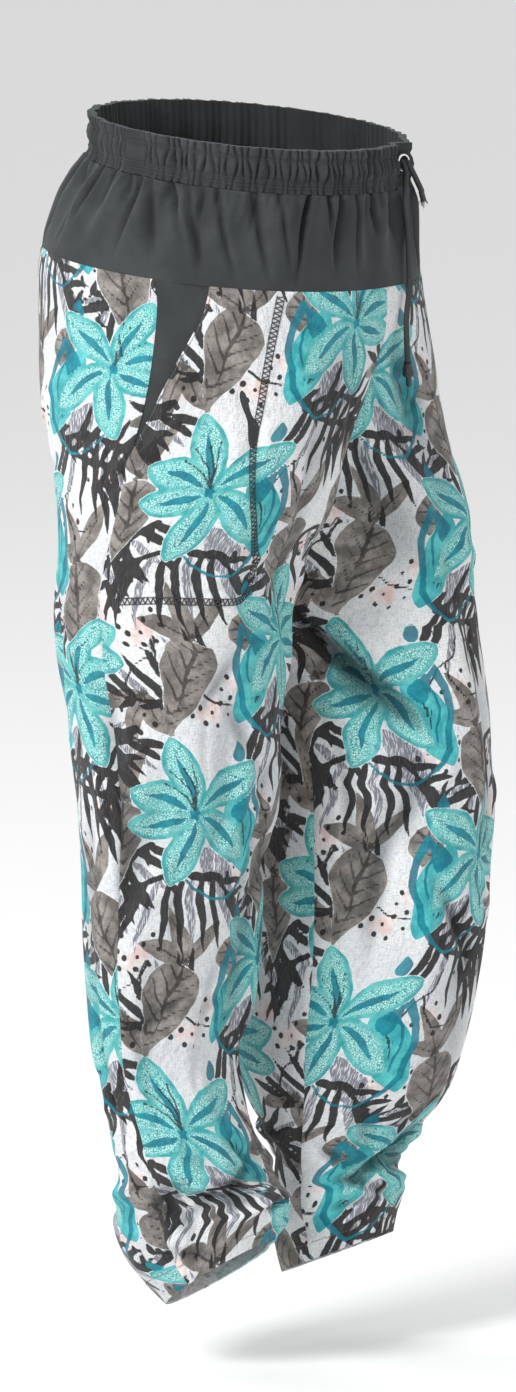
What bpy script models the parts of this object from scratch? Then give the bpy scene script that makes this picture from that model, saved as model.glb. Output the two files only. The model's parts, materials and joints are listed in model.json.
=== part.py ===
"""Pyjama trousers as worn: two printed legs, a black hip yoke and a gathered drawstring waistband.

Metres, +Z up. The wearer faces -Y, so the right leg is at -X. The origin is the centre of the
waistband, where the wearer holds the garment up. Each leg is a stack of rounded sections, and
both legs share the middle plane down to the crotch, where the front and back seams run.
"""

import math

import bmesh
import bpy
import numpy as np
from mathutils import Matrix, Vector

NAME = "pyjama_trousers"

# Cloth and seams
CLOTH = 0.0015
SEAM_GAP = 0.0003
HALF_GAP = SEAM_GAP / 2

# Heights
BAND_HEIGHT = 0.035
BAND_LOW = -BAND_HEIGHT / 2
YOKE_LOW = -0.094
MOUTH_LOW = -0.238
BAG_LOW = -0.360
CROTCH = -0.402
HEM = -0.917

# The waist is worn higher at the back, and each hem is lifted at the instep
WAIST_TILT = 0.12
TILT_FADE = -0.250
HEM_LIFT = {1: 0.020, -1: 0.030}
HEM_DROP = {1: 0.006, -1: 0.000}
LIFT_START = -0.812

# Near the middle plane both legs follow one shared section, mostly the right leg's
SHARED_REACH = 0.060
SHARED_LOW = -0.50
SHARED_RIGHT = 0.7
FOLD_CLEAR = 0.045

# The eyelet is a little to the left of the centre front, where the band is twisted to the right
EYELET_TURN = math.radians(20)
EYELET_HEIGHT = 0.0015
EYELET_RADIUS_OF_WAIST = 0.128
TWIST_SLOPE = 0.65
TWIST_WIDTH = 0.013
TWIST_LOW = -0.060

# One row for each level. Reach is the outer half width and inner the edge nearest the middle plane,
# which lies past that plane above the crotch. Power shapes the section: 2 is an ellipse. Seam is
# the side seam's angle behind (-) or before (+) the side. Each leg has its own centre and depth.
SECTION_COLUMNS = ("z", "reach", "inner", "power", "seam",
                   "cy_right", "ry_right", "cy_left", "ry_left")
SECTIONS = (
    (0.030, 0.138, -0.138, 2.10, -12, 0.000, 0.1230, 0.000, 0.1230),
    (-0.018, 0.141, -0.141, 2.10, -10, 0.000, 0.1240, 0.000, 0.1240),
    (-0.055, 0.158, -0.158, 2.10, 1, 0.009, 0.1350, 0.009, 0.1350),
    (-0.094, 0.172, -0.172, 2.10, 10, 0.015, 0.1450, 0.015, 0.1450),
    (-0.157, 0.180, -0.084, 2.10, 8, 0.007, 0.1400, 0.013, 0.1380),
    (-0.198, 0.188, -0.048, 2.10, 5, 0.002, 0.1340, 0.010, 0.1330),
    (-0.240, 0.194, -0.028, 2.10, 0, -0.001, 0.1210, 0.004, 0.1280),
    (-0.289, 0.198, -0.021, 2.05, -3, 0.003, 0.1060, -0.011, 0.1240),
    (-0.331, 0.199, -0.013, 2.00, -4, 0.014, 0.0910, -0.017, 0.1220),
    (-0.364, 0.199, -0.005, 2.00, -5, 0.016, 0.0880, -0.022, 0.1190),
    (-0.402, 0.199, 0.00015, 2.00, -5, 0.014, 0.0860, -0.033, 0.1150),
    (-0.454, 0.1965, 0.0025, 2.00, -4, 0.011, 0.0830, -0.048, 0.1090),
    (-0.520, 0.192, 0.004, 2.00, -2, 0.009, 0.0785, -0.058, 0.1060),
    (-0.580, 0.186, 0.004, 2.00, 0, 0.015, 0.0705, -0.060, 0.1050),
    (-0.640, 0.178, 0.004, 2.00, 1, 0.021, 0.0660, -0.060, 0.1040),
    (-0.694, 0.169, 0.005, 2.00, 2, 0.025, 0.0590, -0.056, 0.1030),
    (-0.742, 0.160, 0.008, 2.00, 3, 0.027, 0.0510, -0.049, 0.1010),
    (-0.785, 0.155, 0.010, 2.00, 3, 0.018, 0.0530, -0.047, 0.0870),
    (-0.815, 0.150, 0.012, 2.00, 2, 0.011, 0.0580, -0.044, 0.0680),
    (-0.843, 0.146, 0.013, 2.00, 0, 0.004, 0.0650, -0.042, 0.0540),
    (-0.865, 0.143, 0.015, 2.00, -2, -0.004, 0.0740, -0.041, 0.0520),
    (-0.885, 0.137, 0.019, 2.00, -4, -0.006, 0.0700, -0.041, 0.0520),
    (-0.903, 0.130, 0.026, 2.00, -6, -0.013, 0.0570, -0.040, 0.0490),
    (-0.917, 0.122, 0.033, 2.00, -7, -0.019, 0.0455, -0.041, 0.0470),
)

# One row for each large fold: the leg (1 is the wearer's left), the middle's angle in degrees and
# height, the line's lean in degrees from upright, half length and half width in metres, and how
# far it stands out (+) or in (-).
FOLD_COLUMNS = ("side", "angle", "height", "lean", "length", "width", "depth")
FOLDS = (
    (1, 152, -0.438, 50, 0.090, 0.013, -0.014),
    (1, 140, -0.470, 50, 0.080, 0.018, 0.007),
    (1, 120, -0.300, 20, 0.090, 0.022, -0.007),
    (1, 95, -0.230, 12, 0.110, 0.020, -0.006),
    (1, 75, -0.330, -10, 0.100, 0.024, 0.006),
    (1, 168, -0.640, 2, 0.170, 0.020, -0.010),
    (1, 128, -0.660, -4, 0.150, 0.026, 0.006),
    (1, 92, -0.720, 6, 0.120, 0.024, -0.005),
    (1, 100, -0.836, -70, 0.075, 0.010, -0.009),
    (1, 68, -0.853, 85, 0.055, 0.009, -0.014),
    (1, 140, -0.800, 35, 0.060, 0.014, -0.008),
    (1, 255, -0.500, 8, 0.140, 0.026, -0.008),
    (1, 230, -0.720, -6, 0.120, 0.024, 0.007),
    (1, 265, -0.845, 82, 0.070, 0.011, -0.009),
    (1, 320, -0.620, -5, 0.140, 0.024, -0.006),
    (-1, 88, -0.210, -14, 0.120, 0.020, -0.006),
    (-1, 120, -0.300, -24, 0.080, 0.018, 0.005),
    (-1, 60, -0.520, 6, 0.140, 0.024, -0.005),
    (-1, 100, -0.640, 8, 0.130, 0.022, -0.008),
    (-1, 128, -0.770, -30, 0.070, 0.014, -0.007),
    (-1, 60, -0.760, -8, 0.100, 0.018, 0.006),
    (-1, 25, -0.700, 4, 0.130, 0.016, -0.006),
    (-1, 95, -0.846, -68, 0.065, 0.011, -0.010),
    (-1, 60, -0.868, 62, 0.060, 0.010, 0.008),
    (-1, 10, -0.860, -20, 0.050, 0.012, -0.007),
    (-1, 255, -0.480, -8, 0.140, 0.026, -0.008),
    (-1, 235, -0.690, 6, 0.120, 0.022, 0.007),
    (-1, 280, -0.850, 78, 0.070, 0.011, -0.009),
    (-1, 325, -0.600, 5, 0.140, 0.024, -0.006),
)

COTTON_BLACK = (0.021, 0.022, 0.024)


def table(rows, columns):
    """Columns of a table by name."""
    return {name: np.array([row[i] for row in rows], float) for i, name in enumerate(columns)}


LEVELS = table(SECTIONS[::-1], SECTION_COLUMNS)
FOLD_TABLE = table(FOLDS, FOLD_COLUMNS)


def level(name, z):
    """One column of SECTIONS at height z, on a smooth curve through its rows (cubic Hermite)."""
    heights, values = LEVELS["z"], LEVELS[name]
    slopes = np.gradient(values, heights)
    i = np.clip(np.searchsorted(heights, z) - 1, 0, len(heights) - 2)
    step = heights[i + 1] - heights[i]
    t = (z - heights[i]) / step
    return (values[i] * (1 + 2 * t) * (1 - t) ** 2 + values[i + 1] * t * t * (3 - 2 * t)
            + step * t * (1 - t) * (slopes[i] * (1 - t) - slopes[i + 1] * t))


def ease(x):
    """Smooth step from 0 at x <= 0 to 1 at x >= 1."""
    x = np.clip(x, 0, 1)
    return x * x * (3 - 2 * x)


def signed_power(x, power):
    return np.sign(x) * np.abs(x) ** power


def half_widths(z):
    """Centre and half width of a leg's section across the body."""
    reach = level("reach", z)
    inner = np.where(z >= YOKE_LOW, -reach, level("inner", z))
    return (reach + inner) / 2, (reach - inner) / 2


def ring(side, psi, z):
    """Plain section of one leg: psi is 0 at the side, pi / 2 in front and pi at the inner leg."""
    centre, half = half_widths(z)
    power = 2 / level("power", z)
    across = signed_power(np.cos(psi), power)
    forward = signed_power(np.sin(psi), power)
    x = centre + half * across
    right = level("cy_right", z) - level("ry_right", z) * forward
    left = level("cy_left", z) - level("ry_left", z) * forward
    own = np.where(side > 0, left, right)
    shared = ease(1 - x / SHARED_REACH) * ease((z - SHARED_LOW) / (CROTCH - SHARED_LOW))
    mixed = SHARED_RIGHT * right + (1 - SHARED_RIGHT) * left
    return side * x, own + (mixed - own) * shared


def folds(side, psi, z, x):
    """Sum of the large folds: a ridge or trough along a line that dies out at both ends."""
    height = np.zeros(np.broadcast(psi, z).shape)
    for i in range(len(FOLDS)):
        row = {name: FOLD_TABLE[name][i] for name in FOLD_COLUMNS}
        lean = math.radians(row["lean"])
        turn = (psi - math.radians(row["angle"]) + math.pi) % (2 * math.pi) - math.pi
        round_leg = turn * 0.09
        up = z - row["height"]
        along = (round_leg * math.sin(lean) + up * math.cos(lean)) / row["length"]
        across = (round_leg * math.cos(lean) - up * math.sin(lean)) / row["width"]
        shape = np.exp(-across ** 2) * np.clip(1 - along ** 2, 0, 1) ** 2
        height = height + np.where(side == row["side"], row["depth"] * shape, 0)
    return height * ease(np.abs(x) / FOLD_CLEAR)


def twist(side, psi, z):
    """The cords' weight turns the band's face a little to the right at the eyelet."""
    away = (side * (math.pi / 2 - psi) - EYELET_TURN) * EYELET_RADIUS_OF_WAIST
    fade = ease((z - TWIST_LOW) / (BAND_LOW - TWIST_LOW))
    return TWIST_SLOPE * away * np.exp(-(away / TWIST_WIDTH) ** 4) * fade


def gathers(side, psi, z):
    """Soft folds that hang from the waistband's gathers and fade down the yoke."""
    turn = side * (math.pi / 2 - psi)
    wave = np.cos(24 * turn + 0.9 * np.sin(3 * turn) + 0.6 * np.sin(5 * turn + 1.0))
    drop = (BAND_LOW - z) / (BAND_LOW - YOKE_LOW)
    depth = (0.0012 + 0.0030 * ease(drop / 0.2)) * ease((1 - drop) / 0.8)
    return np.where(drop < 1, depth * wave, 0)


def surface(side, psi, z, lift=0.0):
    """Outer face of the cloth, with its folds, moved out by lift."""
    side, psi, z = np.broadcast_arrays(np.asarray(side, float), psi, z)
    x, y = ring(side, psi, z)
    half = half_widths(z)[1]
    depth = np.where(side > 0, level("ry_left", z), level("ry_right", z))
    out_x, out_y = side * np.cos(psi) / half, -np.sin(psi) / depth
    size = np.hypot(out_x, out_y)
    out = folds(side, psi, z, x) + gathers(side, psi, z) + twist(side, psi, z) + lift
    x, y = x + out * out_x / size, y + out * out_y / size
    tilt = WAIST_TILT * y * ease((z - TILT_FADE) / (YOKE_LOW - TILT_FADE))
    instep = np.where(side > 0, HEM_LIFT[1], HEM_LIFT[-1])
    drop = np.where(side > 0, HEM_DROP[1], HEM_DROP[-1])
    instep = (instep * np.sin(psi) - drop) * ease((LIFT_START - z) / (LIFT_START - HEM))
    return np.stack([x, y, z + tilt + instep], axis=-1)


def normals(side, shape, psi, z):
    """Unit normals of shape(psi, z), pointing out of the garment, by central differences."""
    d = 1e-4
    along_psi = shape(psi + d, z) - shape(psi - d, z)
    along_z = shape(psi, z + d) - shape(psi, z - d)
    normal = np.cross(along_z, along_psi) * np.asarray(side, float)[..., None]
    return normal / np.linalg.norm(normal, axis=-1, keepdims=True)


def clip_angle(z):
    """Angle at which the front of a leg's section meets the middle plane, or the inner leg."""
    centre, half = half_widths(z)
    share = np.clip((centre - HALF_GAP) / half, -1, 1)
    angle = np.arccos(-signed_power(share, level("power", z) / 2))
    return np.minimum(angle, math.pi - HALF_GAP / level("ry_right", z))


def side_seam(z):
    return np.radians(level("seam", z))


def gap_angle(z):
    """Half a seam's gap as an angle at the side."""
    return HALF_GAP / level("ry_right", z)


def new_object(name, points, faces, colour, roughness, metallic=0.0):
    """Mesh object from points and faces, with its own material, in the part's collection."""
    mesh = bpy.data.meshes.new(name)
    mesh.from_pydata([tuple(p) for p in points], [], [tuple(int(i) for i in f) for f in faces])
    cage = bmesh.new()
    cage.from_mesh(mesh)
    bmesh.ops.recalc_face_normals(cage, faces=cage.faces)
    cage.to_mesh(mesh)
    cage.free()
    mesh.shade_smooth()
    piece = bpy.data.objects.new(name, mesh)
    piece.data.materials.append(material(name, colour, roughness, metallic))
    bpy.data.collections[NAME].objects.link(piece)
    return piece


def material(name, colour, roughness, metallic=0.0):
    paint = bpy.data.materials.new(name)
    paint.use_nodes = True
    shader = paint.node_tree.nodes["Principled BSDF"]
    shader.inputs["Base Color"].default_value = (*colour, 1)
    shader.inputs["Roughness"].default_value = roughness
    shader.inputs["Metallic"].default_value = metallic
    return paint


def strips(index):
    """Two triangles for each cell of a grid of point numbers."""
    a, b, c, d = index[:-1, :-1], index[1:, :-1], index[1:, 1:], index[:-1, 1:]
    return np.concatenate([np.stack([a, b, c], -1).reshape(-1, 3),
                           np.stack([a, c, d], -1).reshape(-1, 3)])


def cloth_wall(name, outer, inner, colour, roughness):
    """Closed wall between two grids of points, joined by a strip round their edge."""
    rows, columns = outer.shape[:2]
    index = np.arange(rows * columns).reshape(rows, columns)
    border = np.concatenate([index[0, :-1], index[:-1, -1], index[-1, :0:-1], index[:0:-1, 0]])
    rim = np.stack([border, border + rows * columns])
    faces = np.concatenate([strips(index), strips(index)[:, ::-1] + rows * columns,
                            strips(np.concatenate([rim, rim[:, :1]], axis=1))])
    points = np.concatenate([outer.reshape(-1, 3), inner.reshape(-1, 3)])
    return new_object(name, points, faces, colour, roughness)


def panel(name, side, shape, psi, z, colour):
    """Cloth wall whose outer face is shape(psi, z) on a grid of angles and heights."""
    outer = shape(psi, z)
    cloth_wall(name, outer, outer - CLOTH * normals(side, shape, psi, z), colour, 0.85)


def between(start, end, count):
    """Grid of values from start to end, a row for each height."""
    share = np.linspace(0, 1, count)
    return start[:, None] + (end - start)[:, None] * share


# %% Legs

PRINT_WHITE = (0.62, 0.62, 0.59)
LEG_COLUMNS = 15
ABOVE_CROTCH = (0.0, 0.0015, 0.006, 0.015, 0.028, 0.045, 0.070, 0.098, 0.130)
BELOW_CROTCH = (0.004, 0.012)
LEG_STEP = 0.034
LOW_STEP = 0.017

# Pockets: the front panel's slanted mouth starts this far in front of the side seam at the yoke
MOUTH_ANGLE = math.radians(17)
MOUTH_FLARE = {1: 0.020, -1: 0.013}
FLARE_REACH = 0.030
BAG_ANGLES = math.radians(50), math.radians(64)
BAG_INSET = CLOTH + 0.0010
BAG_COLUMNS = 9


def leg_heights():
    """Levels of the leg panels: close at the crotch and the ankle, wider between."""
    mouth = np.linspace(YOKE_LOW - HALF_GAP, MOUTH_LOW, 5)
    upper = CROTCH + np.array(ABOVE_CROTCH[::-1])
    mid = np.arange(CROTCH - BELOW_CROTCH[-1] - LEG_STEP, LIFT_START + LEG_STEP, -LEG_STEP)
    low = np.linspace(mid[-1] - LOW_STEP, HEM, 8)
    return np.concatenate([mouth, upper, CROTCH - np.array(BELOW_CROTCH), mid, low])


def mouth_share(z):
    """0 at the pocket mouth's lower end and below, 1 at the yoke."""
    return np.clip((z - MOUTH_LOW) / (YOKE_LOW - MOUTH_LOW), 0, 1)


def front_edge(z):
    """Side edge of the front panel: the side seam, then the slanted pocket mouth."""
    return side_seam(z) + gap_angle(z) + MOUTH_ANGLE * mouth_share(z)


def front_surface(side):
    """The front panel's face: it stands open along the pocket mouth."""
    def shape(psi, z):
        share = mouth_share(z)
        open_share = (4 * share * (1 - share)) ** 1.5
        away = np.clip(psi - front_edge(z), 0, None) * 0.15 / FLARE_REACH
        return surface(side, psi, z, MOUTH_FLARE[side] * open_share * np.exp(-away ** 2))
    return shape


def leg_panels(side, word):
    """Front and back panel of one leg, from the yoke to the hem."""
    z = leg_heights()
    levels = np.repeat(z[:, None], LEG_COLUMNS, axis=1)
    front = between(front_edge(z), clip_angle(z), LEG_COLUMNS)
    panel(f"front_leg_{word}", side, front_surface(side), front, levels, PRINT_WHITE)
    back = between(2 * math.pi - clip_angle(z), 2 * math.pi + side_seam(z) - gap_angle(z),
                   LEG_COLUMNS)
    panel(f"back_leg_{word}", side, lambda psi, h: surface(side, psi, h), back, levels,
          PRINT_WHITE)


def pocket_backing(side, word):
    """Black cloth behind the mouth: level with the side seam there, under the front panel beyond."""
    def shape(psi, z):
        across = (psi - side_seam(z)) / np.maximum(MOUTH_ANGLE * mouth_share(z), 1e-6)
        down = (YOKE_LOW - z) / (YOKE_LOW - MOUTH_LOW)
        inset = BAG_INSET * np.maximum(ease(across), ease(down))[..., None]
        return outer(psi, z) - inset * normals(side, outer, psi, z)
    outer = lambda psi, z: surface(side, psi, z)
    z = leg_heights()
    z = z[z >= BAG_LOW]
    end = np.interp(z, (BAG_LOW, YOKE_LOW), BAG_ANGLES[::-1])
    psi = between(side_seam(z) + gap_angle(z), end, BAG_COLUMNS)
    panel(f"pocket_backing_{word}", side, shape, psi, np.repeat(z[:, None], BAG_COLUMNS, axis=1),
          COTTON_BLACK)


# %% Yoke

YOKE_COLUMNS = 23
YOKE_ROWS = 5


def yokes():
    """Front and back yoke, each from side seam to side seam."""
    z = np.linspace(BAND_LOW - SEAM_GAP, YOKE_LOW + HALF_GAP, YOKE_ROWS)
    seam = side_seam(z)
    for name, start, end in (("front_yoke", seam + gap_angle(z), np.full_like(z, math.pi / 2)),
                             ("back_yoke", seam - gap_angle(z), np.full_like(z, -math.pi / 2))):
        half = between(start, end, YOKE_COLUMNS)
        psi = np.concatenate([half, half[:, -2::-1]], axis=1)
        side = np.where(np.arange(psi.shape[1]) < YOKE_COLUMNS, -1.0, 1.0)
        levels = np.repeat(z[:, None], psi.shape[1], axis=1)
        panel(name, side, lambda p, h: surface(side, p, h), psi, levels, COTTON_BLACK)


# %% Waistband

GATHERS = 124
FLAT_REACH = 0.011
BAND_COLUMNS = ("z", "out", "wave")
BAND_PROFILE = (
    (0.0175, 0.0002, 0.0013),
    (0.0085, -0.0004, 0.0005),
    (0.0000, 0.0011, 0.0014),
    (-0.0085, -0.0003, 0.0006),
    (-0.0175, 0.0004, 0.0010),
    (-0.0175, -0.0034, 0.0000),
    (0.0175, -0.0034, 0.0004),
)


def waistband():
    """Closed ring round the waist: its outer face rises and falls with each gather."""
    profile = table(BAND_PROFILE, BAND_COLUMNS)
    turn = (np.arange(2 * GATHERS) + 0.5) * math.pi / GATHERS - math.pi
    flat = EYELET_TURN, math.pi / 2 - side_seam(0.0), side_seam(0.0) - math.pi / 2
    ruffled = np.ones_like(turn)
    for place in flat:
        ruffled = ruffled - np.exp(-((turn - place) * EYELET_RADIUS_OF_WAIST / FLAT_REACH) ** 4)
    zigzag = np.where(np.arange(2 * GATHERS) % 2 == 0, 1.0, -1.0)
    zigzag = zigzag * (0.8 + 0.2 * np.sin(7 * turn)) * np.clip(ruffled, 0, 1)
    lift = profile["out"][None] + profile["wave"][None] * zigzag[:, None]
    side = np.where(turn[:, None] > 0, 1.0, -1.0)
    points = surface(side, math.pi / 2 - np.abs(turn)[:, None], profile["z"][None], lift)
    rows, columns = points.shape[:2]
    index = np.arange(rows * columns).reshape(rows, columns)
    index = np.pad(index, ((0, 1), (0, 1)), mode="wrap")
    new_object("waistband", points.reshape(-1, 3), strips(index), COTTON_BLACK, 0.85)


# %% Eyelet

EYELET_PROFILE = ((0.0052, 0.0005), (0.0057, 0.0013), (0.0064, 0.0015), (0.0071, 0.0011),
                  (0.0075, 0.0003), (0.0073, 0.0000), (0.0054, 0.0000))
EYELET_SEAT = 0.0019


def eyelet_frame():
    """Centre of the eyelet's seat and its three directions: across, up and out of the band."""
    psi = np.array(math.pi / 2 - EYELET_TURN)
    height = np.array(EYELET_HEIGHT)
    out = Vector(normals(1, lambda angle, z: surface(1, angle, z), psi, height))
    across = Vector((0, 0, 1)).cross(out).normalized()
    return Vector(surface(1, psi, height)) + out * EYELET_SEAT, across, out.cross(across), out


def eyelet():
    """Metal ring, turned from its section."""
    mesh = bpy.data.meshes.new("eyelet")
    points = [(radius, 0, height) for radius, height in EYELET_PROFILE]
    ends = [(i, (i + 1) % len(points)) for i in range(len(points))]
    mesh.from_pydata(points, ends, [])
    ring_piece = bpy.data.objects.new("eyelet", mesh)
    bpy.data.collections[NAME].objects.link(ring_piece)
    mesh.materials.append(material("eyelet", (0.75, 0.75, 0.74), 0.22, 1.0))
    turned = ring_piece.modifiers.new("turned", "SCREW")
    turned.steps = turned.render_steps = 28
    turned.use_merge_vertices = True
    turned.merge_threshold = 0.00001
    turned.use_smooth_shade = True
    centre, across, up, out = eyelet_frame()
    ring_piece.location = centre
    ring_piece.rotation_euler = Matrix((across, up, out)).transposed().to_euler()


# %% Drawstring

CORD_RADIUS = 0.0024
CORD_STEP = 0.0075
CORD_BLACK = (0.018, 0.019, 0.021)

# Each end leaves the eyelet beside the other. First across, up and out from the eyelet's seat;
# then on the left front, angle in degrees, height, and its middle's distance from the cloth.
EXITS = {
    "long": ((-0.0026, 0.0014, 0.0012), (-0.0027, -0.0030, 0.0042), (-0.0027, -0.0090, 0.0056)),
    "short": ((0.0026, 0.0014, 0.0012), (0.0032, -0.0026, 0.0044)),
}
HANGS = {
    "long": ((80, -0.024, 0.0075), (80, -0.045, 0.0065), (80, -0.070, 0.0060),
             (81.5, -0.095, 0.0060), (89, -0.120, 0.0065), (95, -0.143, 0.0070),
             (98, -0.163, 0.0075)),
    "short": ((65, -0.0195, 0.0070), (61, -0.0245, 0.0085), (58, -0.0310, 0.0105)),
}
STOPPER_LENGTH = 0.013
STOPPER_RADII = 0.0033, 0.0049
TIP_LENGTH = 0.011
TIP_RADIUS = 0.0027


def cord_route(end):
    """The route's own points, from inside the eyelet to the free end."""
    centre, across, up, out = eyelet_frame()
    start = [centre + across * aside + up * rise + out * away for aside, rise, away in EXITS[end]]
    hang = [Vector(surface(1, math.radians(angle), np.array(z), away))
            for angle, z, away in HANGS[end]]
    return start + hang


def smooth_curve(route, step):
    """Points at even steps along a Catmull-Rom curve through the route."""
    p = np.array([2 * route[0] - route[1]] + route + [2 * route[-1] - route[-2]])
    fine = []
    for i in range(len(route) - 1):
        t = np.linspace(0, 1, 24, endpoint=False)[:, None]
        a, b, c, d = p[i:i + 4]
        fine.append(0.5 * (2 * b + (c - a) * t + (2 * a - 5 * b + 4 * c - d) * t ** 2
                           + (3 * b - 3 * c + d - a) * t ** 3))
    fine = np.concatenate(fine + [p[-2:-1]])
    run = np.concatenate([[0], np.cumsum(np.linalg.norm(np.diff(fine, axis=0), axis=1))])
    places = np.linspace(0, run[-1], round(run[-1] / step) + 1)
    return np.stack([np.interp(places, run, fine[:, i]) for i in range(3)], axis=1)


def cord(end):
    """One free end of the drawstring, as a tube."""
    points = smooth_curve(cord_route(end), CORD_STEP)
    name = f"drawstring_{end}"
    curve = bpy.data.curves.new(name, "CURVE")
    curve.dimensions = "3D"
    curve.bevel_depth = CORD_RADIUS
    curve.bevel_resolution = 2
    curve.use_fill_caps = True
    spline = curve.splines.new("POLY")
    spline.points.add(len(points) - 1)
    for place, point in zip(spline.points, points):
        place.co = (*point, 1)
    curve.materials.append(material(name, CORD_BLACK, 0.8))
    bpy.data.collections[NAME].objects.link(bpy.data.objects.new(name, curve))
    return Vector(points[-1]), Vector(points[-1] - points[-3]).normalized()


def cord_cone(name, radii, length, start, down):
    """Stopper or tip: a cone on the cord's line, from start downward."""
    cone = bmesh.new()
    bmesh.ops.create_cone(cone, cap_ends=True, segments=16, radius1=radii[0], radius2=radii[1],
                          depth=length)
    mesh = bpy.data.meshes.new(name)
    cone.to_mesh(mesh)
    cone.free()
    mesh.materials.append(material(name, CORD_BLACK, 0.5))
    mesh.shade_smooth()
    mesh.set_sharp_from_angle(angle=math.radians(40))
    piece = bpy.data.objects.new(name, mesh)
    piece.location = start + down * length / 2
    piece.rotation_euler = down.to_track_quat("Z", "Y").to_euler()
    bpy.data.collections[NAME].objects.link(piece)


def drawstring():
    """The long end with its stopper and tip, and the short end."""
    cord("short")
    end, down = cord("long")
    start = end + down * SEAM_GAP
    cord_cone("cord_stopper", STOPPER_RADII, STOPPER_LENGTH, start, down)
    start = start + down * (STOPPER_LENGTH + SEAM_GAP)
    cord_cone("cord_tip", (TIP_RADIUS, TIP_RADIUS), TIP_LENGTH, start, down)


def build():
    for old in list(bpy.data.objects):
        bpy.data.objects.remove(old, do_unlink=True)
    bpy.context.scene.collection.children.link(bpy.data.collections.new(NAME))
    waistband()
    yokes()
    for side, word in ((-1, "right"), (1, "left")):
        leg_panels(side, word)
        pocket_backing(side, word)
    eyelet()
    drawstring()


build()
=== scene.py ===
# %% [markdown]
# Pyjama trousers, worn
#
# This scene dresses the plain model of a pair of pyjama trousers. The model gives every piece its
# size and place. Here each piece gets its finer form and its finish: gathers, folds, thread, braid
# and a printed pattern.

# %% Tools and the frame
import math
import json

import bmesh
import bpy
import numpy as np
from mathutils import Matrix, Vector

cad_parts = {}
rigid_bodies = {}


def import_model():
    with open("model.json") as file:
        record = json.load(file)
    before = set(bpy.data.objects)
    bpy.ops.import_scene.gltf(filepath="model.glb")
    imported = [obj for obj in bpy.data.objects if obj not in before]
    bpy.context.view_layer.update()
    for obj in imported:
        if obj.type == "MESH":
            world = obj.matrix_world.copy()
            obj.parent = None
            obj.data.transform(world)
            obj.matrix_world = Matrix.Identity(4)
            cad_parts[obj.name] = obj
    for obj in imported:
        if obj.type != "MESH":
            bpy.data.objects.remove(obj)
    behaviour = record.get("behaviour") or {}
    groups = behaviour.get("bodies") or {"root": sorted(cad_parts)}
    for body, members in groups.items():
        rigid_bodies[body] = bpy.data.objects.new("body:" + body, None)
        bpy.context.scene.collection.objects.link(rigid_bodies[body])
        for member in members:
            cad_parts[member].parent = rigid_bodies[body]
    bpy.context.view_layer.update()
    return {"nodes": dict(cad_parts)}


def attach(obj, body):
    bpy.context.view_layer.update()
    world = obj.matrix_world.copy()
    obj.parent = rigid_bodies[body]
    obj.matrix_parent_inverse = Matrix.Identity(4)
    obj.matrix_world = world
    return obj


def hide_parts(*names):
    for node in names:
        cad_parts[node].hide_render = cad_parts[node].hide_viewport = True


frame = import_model()
print("nodes:", sorted(frame["nodes"]))

# %% [markdown]
# The camera comes first. It looks at the wearer's right front from far off with a long lens, so
# upright lines stay upright, as in a catalogue picture.

# %% Camera
IMAGE_HEIGHT = 1392
FOCAL_PIXELS = 9842
SENSOR_MM = 36.0
CAMERA_PLACE = Vector((-6.928, -4.0, 0.6))
CAMERA_AIM = Vector((0.0041, -0.0071, -0.4515))

lens = bpy.data.cameras.new("camera")
lens.sensor_width = SENSOR_MM
lens.lens = FOCAL_PIXELS / IMAGE_HEIGHT * SENSOR_MM
lens.clip_end = 60.0
camera = bpy.data.objects.new("camera", lens)
camera.location = CAMERA_PLACE
camera.rotation_euler = (CAMERA_AIM - CAMERA_PLACE).to_track_quat("-Z", "Y").to_euler()
bpy.context.scene.collection.objects.link(camera)
bpy.context.scene.camera = camera
print("lens", round(lens.lens, 1), "mm")

# %% [markdown]
# The trousers hang from the waist, so their form is a stack of rounded sections, one for each
# level, that the two legs share near the middle. The model was made from this same table, so
# every finer surface here lies on the model's own.

# %% Sections of the legs
CLOTH = 0.0015
SEAM_LAP = 0.00010
BAND_HEIGHT = 0.035
BAND_LOW = -BAND_HEIGHT / 2
YOKE_LOW = -0.094
MOUTH_LOW = -0.238
BAG_LOW = -0.360
CROTCH = -0.402
HEM = -0.917
WAIST_TILT = 0.12
TILT_FADE = -0.250
HEM_LIFT = {1: 0.020, -1: 0.030}
HEM_DROP = {1: 0.006, -1: 0.000}
LIFT_START = -0.812
SHARED_REACH = 0.060
SHARED_LOW = -0.50
SHARED_RIGHT = 0.7
FOLD_CLEAR = 0.045
EYELET_TURN = math.radians(20)
EYELET_HEIGHT = 0.0015
WAIST_RADIUS = 0.128
TWIST_SLOPE = 0.65
TWIST_WIDTH = 0.013
TWIST_LOW = -0.060

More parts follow.
